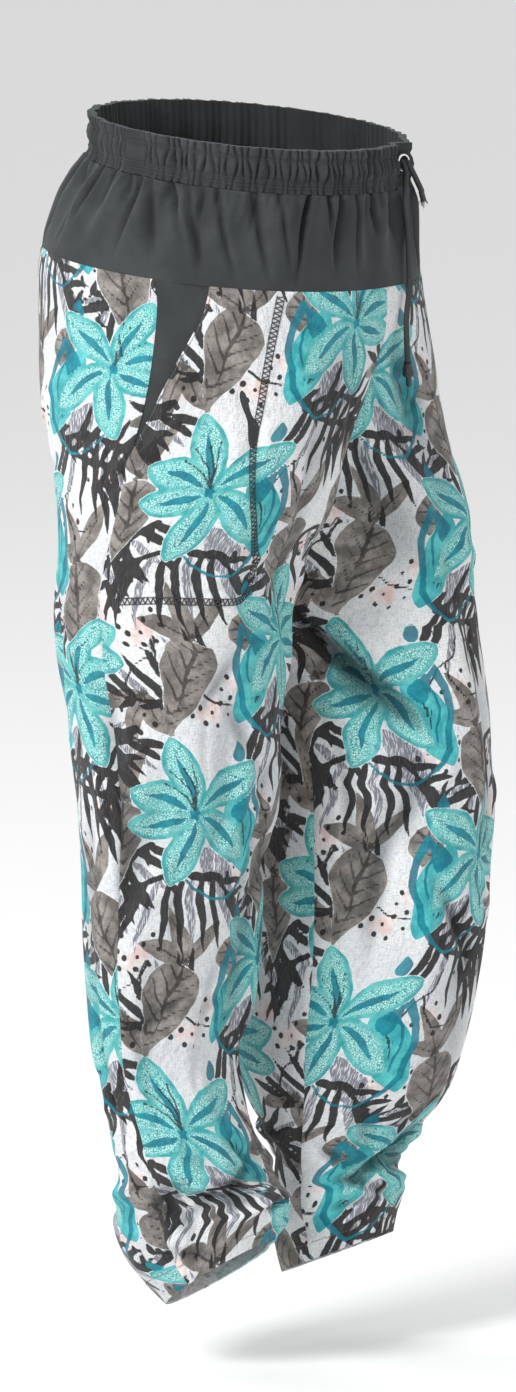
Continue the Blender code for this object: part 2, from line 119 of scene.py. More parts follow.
SECTION_COLUMNS = ("z", "reach", "inner", "power", "seam",
                   "cy_right", "ry_right", "cy_left", "ry_left")
SECTIONS = (
    (0.030, 0.138, -0.138, 2.10, -12, 0.000, 0.1230, 0.000, 0.1230),
    (-0.018, 0.141, -0.141, 2.10, -10, 0.000, 0.1240, 0.000, 0.1240),
    (-0.055, 0.158, -0.158, 2.10, 1, 0.009, 0.1350, 0.009, 0.1350),
    (-0.094, 0.172, -0.172, 2.10, 10, 0.015, 0.1450, 0.015, 0.1450),
    (-0.157, 0.180, -0.084, 2.10, 8, 0.007, 0.1400, 0.013, 0.1380),
    (-0.198, 0.188, -0.048, 2.10, 5, 0.002, 0.1340, 0.010, 0.1330),
    (-0.240, 0.194, -0.028, 2.10, 0, -0.001, 0.1210, 0.004, 0.1280),
    (-0.289, 0.198, -0.021, 2.05, -3, 0.003, 0.1060, -0.011, 0.1240),
    (-0.331, 0.199, -0.013, 2.00, -4, 0.014, 0.0910, -0.017, 0.1220),
    (-0.364, 0.199, -0.005, 2.00, -5, 0.016, 0.0880, -0.022, 0.1190),
    (-0.402, 0.199, 0.00015, 2.00, -5, 0.014, 0.0860, -0.033, 0.1150),
    (-0.454, 0.1965, 0.0025, 2.00, -4, 0.011, 0.0830, -0.048, 0.1090),
    (-0.520, 0.192, 0.004, 2.00, -2, 0.009, 0.0785, -0.058, 0.1060),
    (-0.580, 0.186, 0.004, 2.00, 0, 0.015, 0.0705, -0.060, 0.1050),
    (-0.640, 0.178, 0.004, 2.00, 1, 0.021, 0.0660, -0.060, 0.1040),
    (-0.694, 0.169, 0.005, 2.00, 2, 0.025, 0.0590, -0.056, 0.1030),
    (-0.742, 0.160, 0.008, 2.00, 3, 0.027, 0.0510, -0.049, 0.1010),
    (-0.785, 0.155, 0.010, 2.00, 3, 0.018, 0.0530, -0.047, 0.0870),
    (-0.815, 0.150, 0.012, 2.00, 2, 0.011, 0.0580, -0.044, 0.0680),
    (-0.843, 0.146, 0.013, 2.00, 0, 0.004, 0.0650, -0.042, 0.0540),
    (-0.865, 0.143, 0.015, 2.00, -2, -0.004, 0.0740, -0.041, 0.0520),
    (-0.885, 0.137, 0.019, 2.00, -4, -0.006, 0.0700, -0.041, 0.0520),
    (-0.903, 0.130, 0.026, 2.00, -6, -0.013, 0.0570, -0.040, 0.0490),
    (-0.917, 0.122, 0.033, 2.00, -7, -0.019, 0.0455, -0.041, 0.0470),
)


def table(rows, columns):
    """Columns of a table by name."""
    return {name: np.array([row[i] for row in rows], float) for i, name in enumerate(columns)}


LEVELS = table(SECTIONS[::-1], SECTION_COLUMNS)


def level(name, z):
    """One column of SECTIONS at height z, on a smooth curve through its rows (cubic Hermite)."""
    heights, values = LEVELS["z"], LEVELS[name]
    slopes = np.gradient(values, heights)
    i = np.clip(np.searchsorted(heights, z) - 1, 0, len(heights) - 2)
    step = heights[i + 1] - heights[i]
    t = (z - heights[i]) / step
    return (values[i] * (1 + 2 * t) * (1 - t) ** 2 + values[i + 1] * t * t * (3 - 2 * t)
            + step * t * (1 - t) * (slopes[i] * (1 - t) - slopes[i + 1] * t))


def ease(x):
    """Smooth step from 0 at x <= 0 to 1 at x >= 1."""
    x = np.clip(x, 0, 1)
    return x * x * (3 - 2 * x)


def signed_power(x, power):
    """Power of the size of x, with the sign of x."""
    return np.sign(x) * np.abs(x) ** power


def half_widths(z):
    """Centre and half width of a leg's section across the body."""
    reach = level("reach", z)
    inner = np.where(z >= YOKE_LOW, -reach, level("inner", z))
    return (reach + inner) / 2, (reach - inner) / 2


def ring(side, psi, z):
    """Plain section of one leg: psi is 0 at the side, pi / 2 in front and pi at the inner leg."""
    centre, half = half_widths(z)
    power = 2 / level("power", z)
    across = signed_power(np.cos(psi), power)
    forward = signed_power(np.sin(psi), power)
    x = centre + half * across
    right = level("cy_right", z) - level("ry_right", z) * forward
    left = level("cy_left", z) - level("ry_left", z) * forward
    own = np.where(side > 0, left, right)
    shared = ease(1 - x / SHARED_REACH) * ease((z - SHARED_LOW) / (CROTCH - SHARED_LOW))
    mixed = SHARED_RIGHT * right + (1 - SHARED_RIGHT) * left
    return side * x, own + (mixed - own) * shared


# %% [markdown]
# Cloth that is cut wide falls into folds. A fold is one line on the leg: the cloth stands out or
# in along it, most in the middle, and dies out at both ends. The large ones come from the model's
# table. Small creases are made the same way from a seeded list, more of them at the crotch, the
# knee and the ankle, where cotton crumples. The narrow ones that show one by one, such as the deep
# one that runs down from the crotch, are listed.

# %% Folds and creases
FOLD_COLUMNS = ("side", "angle", "height", "lean", "length", "width", "depth")
FOLDS = (
    (1, 152, -0.438, 50, 0.090, 0.013, -0.014),
    (1, 140, -0.470, 50, 0.080, 0.018, 0.007),
    (1, 120, -0.300, 20, 0.090, 0.022, -0.007),
    (1, 95, -0.230, 12, 0.110, 0.020, -0.006),
    (1, 75, -0.330, -10, 0.100, 0.024, 0.006),
    (1, 168, -0.640, 2, 0.170, 0.020, -0.010),
    (1, 128, -0.660, -4, 0.150, 0.026, 0.006),
    (1, 92, -0.720, 6, 0.120, 0.024, -0.005),
    (1, 100, -0.836, -70, 0.075, 0.010, -0.009),
    (1, 68, -0.853, 85, 0.055, 0.009, -0.014),
    (1, 140, -0.800, 35, 0.060, 0.014, -0.008),
    (1, 255, -0.500, 8, 0.140, 0.026, -0.008),
    (1, 230, -0.720, -6, 0.120, 0.024, 0.007),
    (1, 265, -0.845, 82, 0.070, 0.011, -0.009),
    (1, 320, -0.620, -5, 0.140, 0.024, -0.006),
    (-1, 88, -0.210, -14, 0.120, 0.020, -0.006),
    (-1, 120, -0.300, -24, 0.080, 0.018, 0.005),
    (-1, 60, -0.520, 6, 0.140, 0.024, -0.005),
    (-1, 100, -0.640, 8, 0.130, 0.022, -0.008),
    (-1, 128, -0.770, -30, 0.070, 0.014, -0.007),
    (-1, 60, -0.760, -8, 0.100, 0.018, 0.006),
    (-1, 25, -0.700, 4, 0.130, 0.016, -0.006),
    (-1, 95, -0.846, -68, 0.065, 0.011, -0.010),
    (-1, 60, -0.868, 62, 0.060, 0.010, 0.008),
    (-1, 10, -0.860, -20, 0.050, 0.012, -0.007),
    (-1, 255, -0.480, -8, 0.140, 0.026, -0.008),
    (-1, 235, -0.690, 6, 0.120, 0.022, 0.007),
    (-1, 280, -0.850, 78, 0.070, 0.011, -0.009),
    (-1, 325, -0.600, 5, 0.140, 0.024, -0.006),
)
ARC_RADIUS = 0.09
CREASE_CLEAR = 0.018
CREASE_ZONES = (
    # height, spread, count, length, width, depth: all in metres but the count
    (-0.290, 0.080, 34, 0.060, 0.0055, 0.0026),
    (-0.560, 0.110, 40, 0.070, 0.0065, 0.0030),
    (-0.500, 0.220, 30, 0.130, 0.0120, 0.0046),
    (-0.850, 0.028, 44, 0.044, 0.0066, 0.0050),
)
LONG_CREASE = 0.10
LONG_LEAN, SHORT_LEAN, ANKLE_LEAN = 20, 70, 25
LENGTH_SHARES = (0.5, 1.3)
WIDTH_SHARES = (0.7, 1.6)
DEPTH_SHARES = (0.5, 1.4)


def crease_rows(side):
    """Seeded small creases in the fold table's columns, gathered round three levels."""
    rng = np.random.default_rng(11 + side)
    rows = []
    for height, spread, count, length, width, depth in CREASE_ZONES:
        lean, most = 0, LONG_LEAN if length > LONG_CREASE else SHORT_LEAN
        if height < LIFT_START:
            lean, most = 90, ANKLE_LEAN
        for _ in range(count):
            rows.append((side, rng.uniform(0, 360), rng.normal(height, spread),
                         lean + rng.uniform(-most, most),
                         length * rng.uniform(*LENGTH_SHARES), width * rng.uniform(*WIDTH_SHARES),
                         depth * rng.choice((-1.0, 1.0)) * rng.uniform(*DEPTH_SHARES)))
    return rows


SHARP_CREASES = (
    # the same columns: narrow creases that show one by one
    (1, 143, -0.418, 28, 0.078, 0.0060, -0.0260),
    (1, 134, -0.404, 28, 0.064, 0.0100, 0.0070),
    (1, 158, -0.450, 24, 0.070, 0.0110, 0.0080),
    (1, 126, -0.500, 36, 0.060, 0.0070, -0.0060),
    (1, 112, -0.620, 30, 0.070, 0.0070, -0.0060),
    (1, 150, -0.835, 70, 0.045, 0.0055, -0.0090),
    (1, 130, -0.858, 80, 0.050, 0.0055, -0.0085),
    (1, 110, -0.842, -65, 0.045, 0.0055, -0.0080),
    (1, 140, -0.880, 85, 0.035, 0.0050, -0.0060),
    (-1, 70, -0.842, 62, 0.050, 0.0055, -0.0090),
    (-1, 58, -0.862, 75, 0.045, 0.0055, -0.0080),
    (-1, 82, -0.872, 80, 0.035, 0.0050, -0.0070),
    (-1, 35, -0.850, -75, 0.050, 0.0060, -0.0075),
    (-1, 60, -0.420, 40, 0.060, 0.0070, -0.0055),
    (-1, 78, -0.470, -30, 0.070, 0.0070, -0.0050),
    (1, 112, -0.452, 46, 0.050, 0.0060, -0.0035),
    (1, 118, -0.205, 24, 0.075, 0.0060, -0.0045),
    (1, 132, -0.235, 20, 0.085, 0.0060, -0.0060),
    (1, 165, -0.520, 4, 0.110, 0.0060, -0.0090),
    (1, 150, -0.600, -6, 0.120, 0.0080, -0.0050),
    (1, 100, -0.798, -58, 0.040, 0.0060, -0.0050),
    (1, 78, -0.824, -74, 0.050, 0.0060, -0.0055),
    (1, 52, -0.846, -88, 0.045, 0.0060, -0.0050),
    (-1, 82, -0.250, -12, 0.080, 0.0060, -0.0040),
    (-1, 100, -0.330, -20, 0.070, 0.0060, -0.0045),
    (-1, 92, -0.560, 8, 0.110, 0.0070, -0.0045),
    (-1, 40, -0.610, -4, 0.130, 0.0070, -0.0035),
    (-1, 66, -0.700, 10, 0.090, 0.0060, -0.0045),
    (-1, 84, -0.815, -52, 0.040, 0.0055, -0.0055),
    (-1, 55, -0.840, -78, 0.050, 0.0055, -0.0055),
    (-1, 20, -0.838, 80, 0.040, 0.0055, -0.0045),
    (-1, 95, -0.862, -70, 0.035, 0.0055, -0.0050),
)
LARGE = table(FOLDS, FOLD_COLUMNS)
SMALL = table(list(SHARP_CREASES) + crease_rows(1) + crease_rows(-1), FOLD_COLUMNS)


def folds(side, psi, z, x, rows, clear=FOLD_CLEAR):
    """Sum of folds: a Gaussian across each line, times a curve that ends it at both ends."""
    height = np.zeros(np.broadcast(psi, z).shape)
    for i in range(len(rows["side"])):
        row = {name: rows[name][i] for name in FOLD_COLUMNS}
        lean = math.radians(row["lean"])
        turn = (psi - math.radians(row["angle"]) + math.pi) % (2 * math.pi) - math.pi
        round_leg = turn * ARC_RADIUS
        up = z - row["height"]
        along = (round_leg * math.sin(lean) + up * math.cos(lean)) / row["length"]
        across = (round_leg * math.cos(lean) - up * math.sin(lean)) / row["width"]
        shape = np.exp(-across ** 2) * np.clip(1 - along ** 2, 0, 1) ** 2
        height = height + np.where(side == row["side"], row["depth"] * shape, 0)
    return height * ease(np.abs(x) / clear)


def twist(side, psi, z):
    """The cords' weight turns the band's face a little to the right at the eyelet."""
    away = (side * (math.pi / 2 - psi) - EYELET_TURN) * WAIST_RADIUS
    fade = ease((z - TWIST_LOW) / (BAND_LOW - TWIST_LOW))
    return TWIST_SLOPE * away * np.exp(-(away / TWIST_WIDTH) ** 4) * fade


YOKE_FOLDS = 24
YOKE_FOLD_TOP = 0.0012
YOKE_FOLD_SWELL = 0.0030


def gathers(side, psi, z):
    """Soft folds under the band: a wave that wanders, deepest a fifth of the way down the yoke."""
    turn = side * (math.pi / 2 - psi)
    wave = np.cos(YOKE_FOLDS * turn + 0.9 * np.sin(3 * turn) + 0.6 * np.sin(5 * turn + 1.0))
    drop = (BAND_LOW - z) / (BAND_LOW - YOKE_LOW)
    depth = (YOKE_FOLD_TOP + YOKE_FOLD_SWELL * ease(drop / 0.2)) * ease((1 - drop) / 0.8)
    return np.where(drop < 1, depth * wave, 0)


def surface(side, psi, z, lift=0.0, fine=0.0):
    """Outer face of the cloth with its folds, moved out by lift; fine is the small creases' share."""
    side, psi, z = np.broadcast_arrays(np.asarray(side, float), psi, z)
    x, y = ring(side, psi, z)
    half = half_widths(z)[1]
    depth = np.where(side > 0, level("ry_left", z), level("ry_right", z))
    out_x, out_y = side * np.cos(psi) / half, -np.sin(psi) / depth
    size = np.hypot(out_x, out_y)
    out = folds(side, psi, z, x, LARGE) + gathers(side, psi, z) + twist(side, psi, z) + lift
    if fine:
        out = out + fine * folds(side, psi, z, x, SMALL, CREASE_CLEAR)
    x, y = x + out * out_x / size, y + out * out_y / size
    tilt = WAIST_TILT * y * ease((z - TILT_FADE) / (YOKE_LOW - TILT_FADE))
    instep = np.where(side > 0, HEM_LIFT[1], HEM_LIFT[-1])
    drop = np.where(side > 0, HEM_DROP[1], HEM_DROP[-1])
    instep = (instep * np.sin(psi) - drop) * ease((LIFT_START - z) / (LIFT_START - HEM))
    return np.stack([x, y, z + tilt + instep], axis=-1)


def normals(side, shape, psi, z):
    """Unit normals of shape(psi, z), pointing out of the garment, by central differences."""
    d = 1e-4
    along_psi = shape(psi + d, z) - shape(psi - d, z)
    along_z = shape(psi, z + d) - shape(psi, z - d)
    normal = np.cross(along_z, along_psi) * np.asarray(side, float)[..., None]
    return normal / np.linalg.norm(normal, axis=-1, keepdims=True)


print("large folds", len(FOLDS), "small creases", len(SMALL["side"]))

# %% [markdown]
# A mesh is points and faces. Whole arrays are handed to Blender at once, which is much faster
# than adding points one by one. A colour or a number that follows the cloth goes along as an
# attribute of each point, and the cloth's own flat measure goes along as its UV map, in metres.

# %% Meshes from arrays
def link(name, mesh, paint=None, slot=None):
    """New object with its paint, put on the model's one body when a slot is given."""
    piece = bpy.data.objects.new(name, mesh)
    bpy.context.scene.collection.objects.link(piece)
    if paint is not None:
        mesh.materials.append(paint)
    if slot is not None:
        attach(piece, "root")
    return piece


def make_mesh(name, points, groups, sharp=55.0):
    """Mesh from an (n, 3) array of points and arrays of faces, each array of one face size."""
    mesh = bpy.data.meshes.new(name)
    mesh.vertices.add(len(points))
    mesh.vertices.foreach_set("co", np.ascontiguousarray(points, dtype=np.float32).ravel())
    corners = np.concatenate([np.asarray(g).ravel() for g in groups]).astype(np.int32)
    sizes = np.concatenate([np.full(len(g), np.shape(g)[1]) for g in groups])
    mesh.loops.add(len(corners))
    mesh.loops.foreach_set("vertex_index", corners)
    mesh.polygons.add(len(sizes))
    starts = np.concatenate([[0], np.cumsum(sizes)[:-1]]).astype(np.int32)
    mesh.polygons.foreach_set("loop_start", starts)
    mesh.update(calc_edges=True)
    mesh.shade_smooth()
    mesh.set_sharp_from_angle(angle=math.radians(sharp))
    return mesh


def outward(mesh):
    """Turns a closed mesh inside out where its signed volume is below nothing."""
    cage = bmesh.new()
    cage.from_mesh(mesh)
    if cage.calc_volume(signed=True) < 0:
        mesh.flip_normals()
    cage.free()
    return mesh


def add_uv(mesh, flat):
    """UV map named cloth, from one flat place for each point."""
    corner = np.empty(len(mesh.loops), dtype=np.int32)
    mesh.loops.foreach_get("vertex_index", corner)
    layer = mesh.uv_layers.new(name="cloth")
    layer.uv.foreach_set("vector", flat[corner].astype(np.float32).ravel())


def add_attribute(mesh, name, values):
    """Three numbers, or one, for each point."""
    kind = "FLOAT" if values.ndim == 1 else "FLOAT_VECTOR"
    layer = mesh.attributes.new(name, kind, "POINT")
    key = "value" if values.ndim == 1 else "vector"
    layer.data.foreach_set(key, np.ascontiguousarray(values, dtype=np.float32).ravel())


def quads(rows, columns, wrap=False):
    """Four-sided faces of a grid of points, numbered row by row."""
    index = np.arange(rows * columns).reshape(rows, columns)
    if wrap:
        index = np.concatenate([index, index[:, :1]], axis=1)
    return np.stack([index[:-1, :-1], index[1:, :-1], index[1:, 1:], index[:-1, 1:]],
                    -1).reshape(-1, 4)


def border(index):
    """Point numbers round the edge of a grid, in order."""
    return np.concatenate([index[0, :-1], index[:-1, -1], index[-1, :0:-1], index[:0:-1, 0]])


# %% [markdown]
# A real panel of cloth has two faces and an edge. Here the outer face is a fine grid. The inner
# face is a grid half as fine, because little of it shows, and a strip of five-sided faces joins
# the two round the edge, so the wall is closed.

# %% Cloth walls
COARSE = 2


def cloth_wall(name, outer, inner):
    """Closed wall between a fine outer grid and an inner grid COARSE times coarser."""
    rows, columns = outer.shape[:2]
    low_rows, low_columns = inner.shape[:2]
    fine = np.arange(rows * columns).reshape(rows, columns)
    coarse = np.arange(low_rows * low_columns).reshape(low_rows, low_columns) + rows * columns
    edge, low_edge = border(fine), border(coarse)
    edge = np.concatenate([edge, edge[:1]])
    steps = np.arange(len(low_edge))
    rim = [edge[steps * COARSE + k] for k in range(COARSE + 1)]
    rim = np.stack(rim + [np.roll(low_edge, -1), low_edge], -1)
    groups = [quads(rows, columns), quads(low_rows, low_columns)[:, ::-1] + rows * columns, rim]
    points = np.concatenate([outer.reshape(-1, 3), inner.reshape(-1, 3)])
    return outward(make_mesh(name, points, groups))


def flat_measure(outer, middle):
    """Cloth's flat place of each grid point: arc along its row from the grain line, and drop."""
    across = np.concatenate([np.zeros((len(outer), 1)),
                             np.cumsum(np.linalg.norm(np.diff(outer, axis=1), axis=2), axis=1)],
                            axis=1)
    across = across - across[:, middle][:, None]
    drop = np.concatenate([[0], np.cumsum(np.linalg.norm(np.diff(outer[:, middle], axis=0),
                                                         axis=1))])
    return across, np.repeat(-drop[:, None], outer.shape[1], axis=1)


def both_layers(values):
    """Values on the fine grid followed by the same values on the coarse one."""
    low = values[::COARSE, ::COARSE]
    return np.concatenate([values.reshape(-1, *values.shape[2:]),
                           low.reshape(-1, *values.shape[2:])])


def between(start, end, count):
    """Grid of values from start to end, a row for each height."""
    share = np.linspace(0, 1, count)
    return start[:, None] + (end - start)[:, None] * share


def spaced(levels, count):
    """Heights through the given levels, count in all, so that each level is one of them."""
    levels = np.array(levels)
    spans = np.maximum(1, np.round((levels[:-1] - levels[1:]) / (levels[0] - levels[-1])
                                   * (count - 1))).astype(int)
    spans[np.argmax(spans)] += count - 1 - spans.sum()
    pieces = [np.linspace(a, b, n, endpoint=False) for a, b, n in zip(levels, levels[1:], spans)]
    return np.concatenate(pieces + [levels[-1:]])


print("heights through three levels:", spaced((0.0, -1.0, -3.0), 7))

# %% [markdown]
# The print repeats like any printed cotton: one tile of flowers, leaves and palm fronds, over and
# over. Each motif is a signed field, in metres inside its edge, worked out for every point of the
# cloth. The field runs straight between two points, so its edge stays sharp between them, and the
# material only has to ask where it is above nothing.

# %% Fields of the motifs
TILE = np.array([0.226, 0.276])
FAR = -0.02
OUTLINE = 0.0005
MM = 0.001
ATTRIBUTES = {"inks_a": ("petal", "rib", "bud"), "inks_b": ("leaf", "vein", "frond"),
              "inks_c": ("ghost", "stroke", "blush")}


def local(flat, place, turn, mirror=1):
    """Cloth places seen from the nearest repeat of a motif, turned upright, x to its right."""
    away = (flat - np.array(place) * MM + TILE / 2) % TILE - TILE / 2
    c, s = math.cos(math.radians(turn)), math.sin(math.radians(turn))
    return mirror * (c * away[..., 0] + s * away[..., 1]), -s * away[..., 0] + c * away[..., 1]


def blade(x, y, angle, start, length, width, bend=0.0, blunt=0.5, tip=0.8):
    """Field of a petal or leaf: half width less the distance from a bent line out of the middle."""
    a = math.radians(angle)
    along = (x * math.cos(a) + y * math.sin(a) - start) / length
    aside = -x * math.sin(a) + y * math.cos(a) - bend * length * along ** 2
    t = np.clip(along, 0, 1)
    half = width * np.sin(math.pi * np.clip(t, 1e-4, 1 - 1e-4) ** blunt) ** tip
    beyond = np.maximum(np.abs(along - 0.5) - 0.5, 0) * length
    return np.maximum(half - np.abs(aside) - beyond, FAR)


def stroke(x, y, points, width, taper):
    """Field of a brush stroke through a few points, thinner towards its end."""
    points = np.array(points, float) * MM
    best = np.full(x.shape, FAR)
    for i in range(len(points) - 1):
        a, b = points[i], points[i + 1]
        span = b - a
        t = np.clip(((x - a[0]) * span[0] + (y - a[1]) * span[1]) / (span @ span), 0, 1)
        gap = np.hypot(x - a[0] - t * span[0], y - a[1] - t * span[1])
        share = (i + t) / (len(points) - 1)
        best = np.maximum(best, width * (1 - (1 - taper) * share) - gap)
    return best


def dots(x, y, places, radius):
    """Field of round berries in five sizes."""
    best = np.full(x.shape, FAR)
    for i, (px, py) in enumerate(places):
        size = radius * (0.75 + 0.35 * ((i * 37) % 5) / 4)
        best = np.maximum(best, size - np.hypot((x - px * MM) * 1.1, y - py * MM))
    return best


def star(x, y, radius, points, depth, squeeze=1.0):
    """Field of a small star: a disc whose edge goes out and in again a few times."""
    return radius - np.hypot(x * squeeze, y) + depth * np.cos(points * np.arctan2(y, x))


def over(fields, name, value):
    """Adds a shape to an ink: the higher of the two fields."""
    fields[name] = np.maximum(fields[name], value)


def cover(fields, shape):
    """Clears the cloth under a motif, so that it lies on top with a pale line round it."""
    for name in ("frond", "ghost", "leaf", "vein"):
        fields[name] = np.minimum(fields[name], -shape)


# %% [markdown]
# The large flower is drawn back to front: a bud and its dark calyx, a scratched leaf and a hatched
# mark, then six petals. A petal that lies over another clears that one's rib and dips its field,
# which leaves a darker edge between them.

# %% The large flower
PETALS = (
    # angle, length, half width, bend: degrees and millimetres
    (101, 66, 15.0, 0.14),
    (37, 74, 15.0, -0.14),
    (-29, 71, 15.5, -0.18),
    (-92, 63, 16.5, -0.20),
    (149, 58, 15.0, 0.20),
    (207, 56, 14.0, -0.26),
)
PETAL_EDGE = 0.0030
RIB_START = 0.006
RIB_SHARE = 0.70
RIB_HALF = 0.0032
RIB_CLEAR = 0.0006
CALYX_TAPER = 0.6
CALYX = (
    # half width, then the points of one stroke
    (0.0040, ((56, 18), (68, 2), (72, -22), (68, -48), (58, -66))),
    (0.0017, ((48, 12), (58, -4), (61, -24), (58, -44))),
    (0.0016, ((58, -66), (44, -76), (24, -76), (8, -66), (-4, -54))),
)
BEHIND_FLOWER = {
    # x, y, angle, start, length, half width, bend, bluntness at the root and at the tip
    "bud": (0.034, 0.016, -68, 0.0, 0.086, 0.0190, 0.06, 1.1, 0.6),
    "calyx": (0.038, -0.012, 62, 0.0, 0.034, 0.0090, 0.0, 0.8, 0.8),
    "sepal": (0.046, 0.040, 98, 0.0, 0.018, 0.0065, 0.0, 0.7, 0.8),
    "scratched": (0.004, -0.026, -48, 0.008, 0.062, 0.0130, 0.0, 0.9, 0.8),
    "hatched": (0.046, -0.008, -84, 0.0, 0.044, 0.0085, 0.08, 0.9, 0.8),
}
BUD_BEHIND = 0.0010
HATCH_DEPTH = 0.0045
STAMENS = ((-9, 38), (-20, 34), (-2, 42), (-26, 24))
STAMEN_HALF = 0.0008
ANTHER_RADIUS = 0.0018


def petals_and_ribs(x, y, turned):
    """Two fields: all petals, each laid over the last, and the ribs that still show."""
    petals = np.full(x.shape, FAR)
    ribs = np.full(x.shape, FAR)
    for angle, length, half, bend in PETALS:
        petal = blade(x, y, angle + turned, 0.0, length * MM, half * MM, bend, 1.15, 0.62)
        petals = np.where(petal > 0, np.minimum(petals, petal + PETAL_EDGE), petals)
        petals = np.maximum(petals, petal)
        rib = blade(x, y, angle + turned, RIB_START, length * MM * RIB_SHARE, RIB_HALF, bend,
                    0.85, 1.0)
        ribs = np.maximum(np.where(petal > -RIB_CLEAR, np.minimum(ribs, -MM), ribs), rib)
    return petals, ribs


def lily(fields, x, y, turned=0.0):
    """Six broad petals, each with a dark rib, before a bud, its dark edge and a scratched leaf."""
    behind = {name: blade(x - row[0], y - row[1], *row[2:]) for name, row in BEHIND_FLOWER.items()}
    calyx = np.maximum(behind["calyx"], behind["sepal"])
    for width, points in CALYX:
        calyx = np.maximum(calyx, stroke(x, y, points, width, CALYX_TAPER))
    hatched = behind["hatched"] - HATCH_DEPTH * (0.5 + 0.5 * np.sin(1500 * x + 700 * y))
    petals, ribs = petals_and_ribs(x, y, turned)
    front = petals > 0
    over(fields, "bud", np.minimum(behind["bud"], BUD_BEHIND - petals))
    over(fields, "petal", petals)
    over(fields, "rib", ribs)
    over(fields, "rib", np.where(front, FAR, calyx))
    over(fields, "rib", star(x, y, 0.0050, 5, 0.0016, squeeze=1.3))
    cover(fields, np.maximum(petals, behind["bud"]) + OUTLINE)
    over(fields, "ghost", np.where(front, FAR, behind["scratched"]))
    over(fields, "stroke", np.where(front, FAR, hatched))
    for end in STAMENS:
        middle = (end[0] * 0.35, end[1] * 0.62)
        over(fields, "stroke", stroke(x, y, ((0, 3), middle, end), STAMEN_HALF, 0.9))
        over(fields, "stroke", dots(x, y, (end,), ANTHER_RADIUS))


print("petals", len(PETALS), "shapes behind them", len(BEHIND_FLOWER) + len(CALYX))

# %% [markdown]
# Leaves, fronds, berries and stems fill the ground between the flowers. Each is drawn upright from
# its own point, and the tile's list then turns, mirrors and places it.

# %% Leaves, fronds and berries
HEART_LENGTH = 0.090
HEART_HALF = 0.0255
VEIN_PITCH = 0.0130
VEIN_SWEEP = 0.9
BERRY_RADIUS = 0.0026
BLUSH_RADIUS = 0.011
STEM_HALF = 0.0011


def heart_leaf(fields, x, y, size):
    """Broad pointed leaf with a darker rib and side veins that sweep to its edge."""
    leaf = blade(x, y, angle=-90, start=0.0, length=HEART_LENGTH * size, width=HEART_HALF * size,
                 bend=0.10, blunt=0.52, tip=1.05)
    cover(fields, leaf + OUTLINE)
    over(fields, "leaf", leaf)
    side = 0.5 + 0.5 * np.cos((y - VEIN_SWEEP * np.abs(x)) * 2 * math.pi / VEIN_PITCH)
    vein = np.where(leaf > MM, 0.0016 * (side ** 5) - 0.0007 - 0.03 * np.abs(x), FAR)
    rib = blade(x, y, angle=-90, start=0.0, length=0.074 * size, width=0.0017, bend=0.08)
    over(fields, "vein", np.maximum(vein, rib))


def slim_leaves(fields, x, y, *rows):
    """Long narrow leaves out of one point, each with a rib."""
    for angle, length, half, bend in rows:
        length = length * MM
        over(fields, "leaf", blade(x, y, angle, 0.0, length, half * MM, bend, 0.7, 0.9))
        over(fields, "vein", blade(x, y, angle, 0.0, length * 0.9, 0.0009, bend, 0.6, 0.9))
    over(fields, "vein", star(x, y, 0.0040, 7, 0.0020))


def palm(fields, x, y, reach, leaflets, drop, curl):
    """Arched rib with long tapered leaflets below it, inked and ghosted by turns."""
    x = x + reach / 2

    def arch(t):
        """Point of the rib at a share t of its reach."""
        return reach * t, curl * math.sin(math.pi * min(t * 0.9 + 0.1, 1.0))

    spine = [(a / MM, b / MM) for a, b in (arch(t) for t in np.linspace(0, 1, 7))]
    over(fields, "frond", stroke(x, y, spine, width=0.0030, taper=0.4))
    for i in range(leaflets):
        t = 0.06 + 0.94 * i / (leaflets - 1)
        px, py = arch(t)
        angle = -116 + 66 * t + 5 * math.sin(5 * i)
        length = drop * (0.62 + 0.55 * math.sin(math.pi * (0.18 + 0.72 * t)))
        kind = "ghost" if i % 3 == 2 else "frond"
        over(fields, kind, blade(x - px, y - py, angle, 0.0, length, 0.0037, 0.10, 0.72, 0.9))
        if i % 2 == 0:
            over(fields, "frond", blade(x - px, y - py, angle + 76, 0.0, length * 0.46, 0.0032,
                                        -0.15, 0.72, 0.9))


def berries(fields, x, y, *places):
    """Loose berries, with a faint blush behind the first."""
    over(fields, "frond", dots(x, y, places, BERRY_RADIUS))
    over(fields, "blush", BLUSH_RADIUS - np.hypot(x, y * 1.4) + 0.004 * np.sin(x * 400))


def stem(fields, x, y, *points):
    """Thin bent twig."""
    over(fields, "frond", stroke(x, y, points, STEM_HALF, taper=0.7))


# %% [markdown]
# The tile's list says where each motif lies. Later rows lie on top, so the palms come first and
# the large flowers last. A small wobble of the places keeps the edges from looking ruled.

# %% The tile
DRAWN = {"palm": palm, "stem": stem, "berries": berries, "slim": slim_leaves, "heart": heart_leaf,
         "lily": lily}
WOBBLES = (
    # size, then turns for each metre and start: along y, along x
    (0.0010, 170, 1, 150, 2),
    (0.0002, 560, 1, 610, 3),
)
BERRIES_A = ((0, 0), (9, 6), (-10, 4), (4, -12), (-7, -9), (17, -5), (19, 9), (-19, -3))
BERRIES_B = ((0, 0), (-11, 8), (8, -9), (14, 4), (-5, -15), (-20, 1))
STEM_A = ((0, 0), (8, 14), (22, 22), (30, 40))
STEM_B = ((0, 0), (-8, -14), (-6, -32), (8, -44), (24, -46))
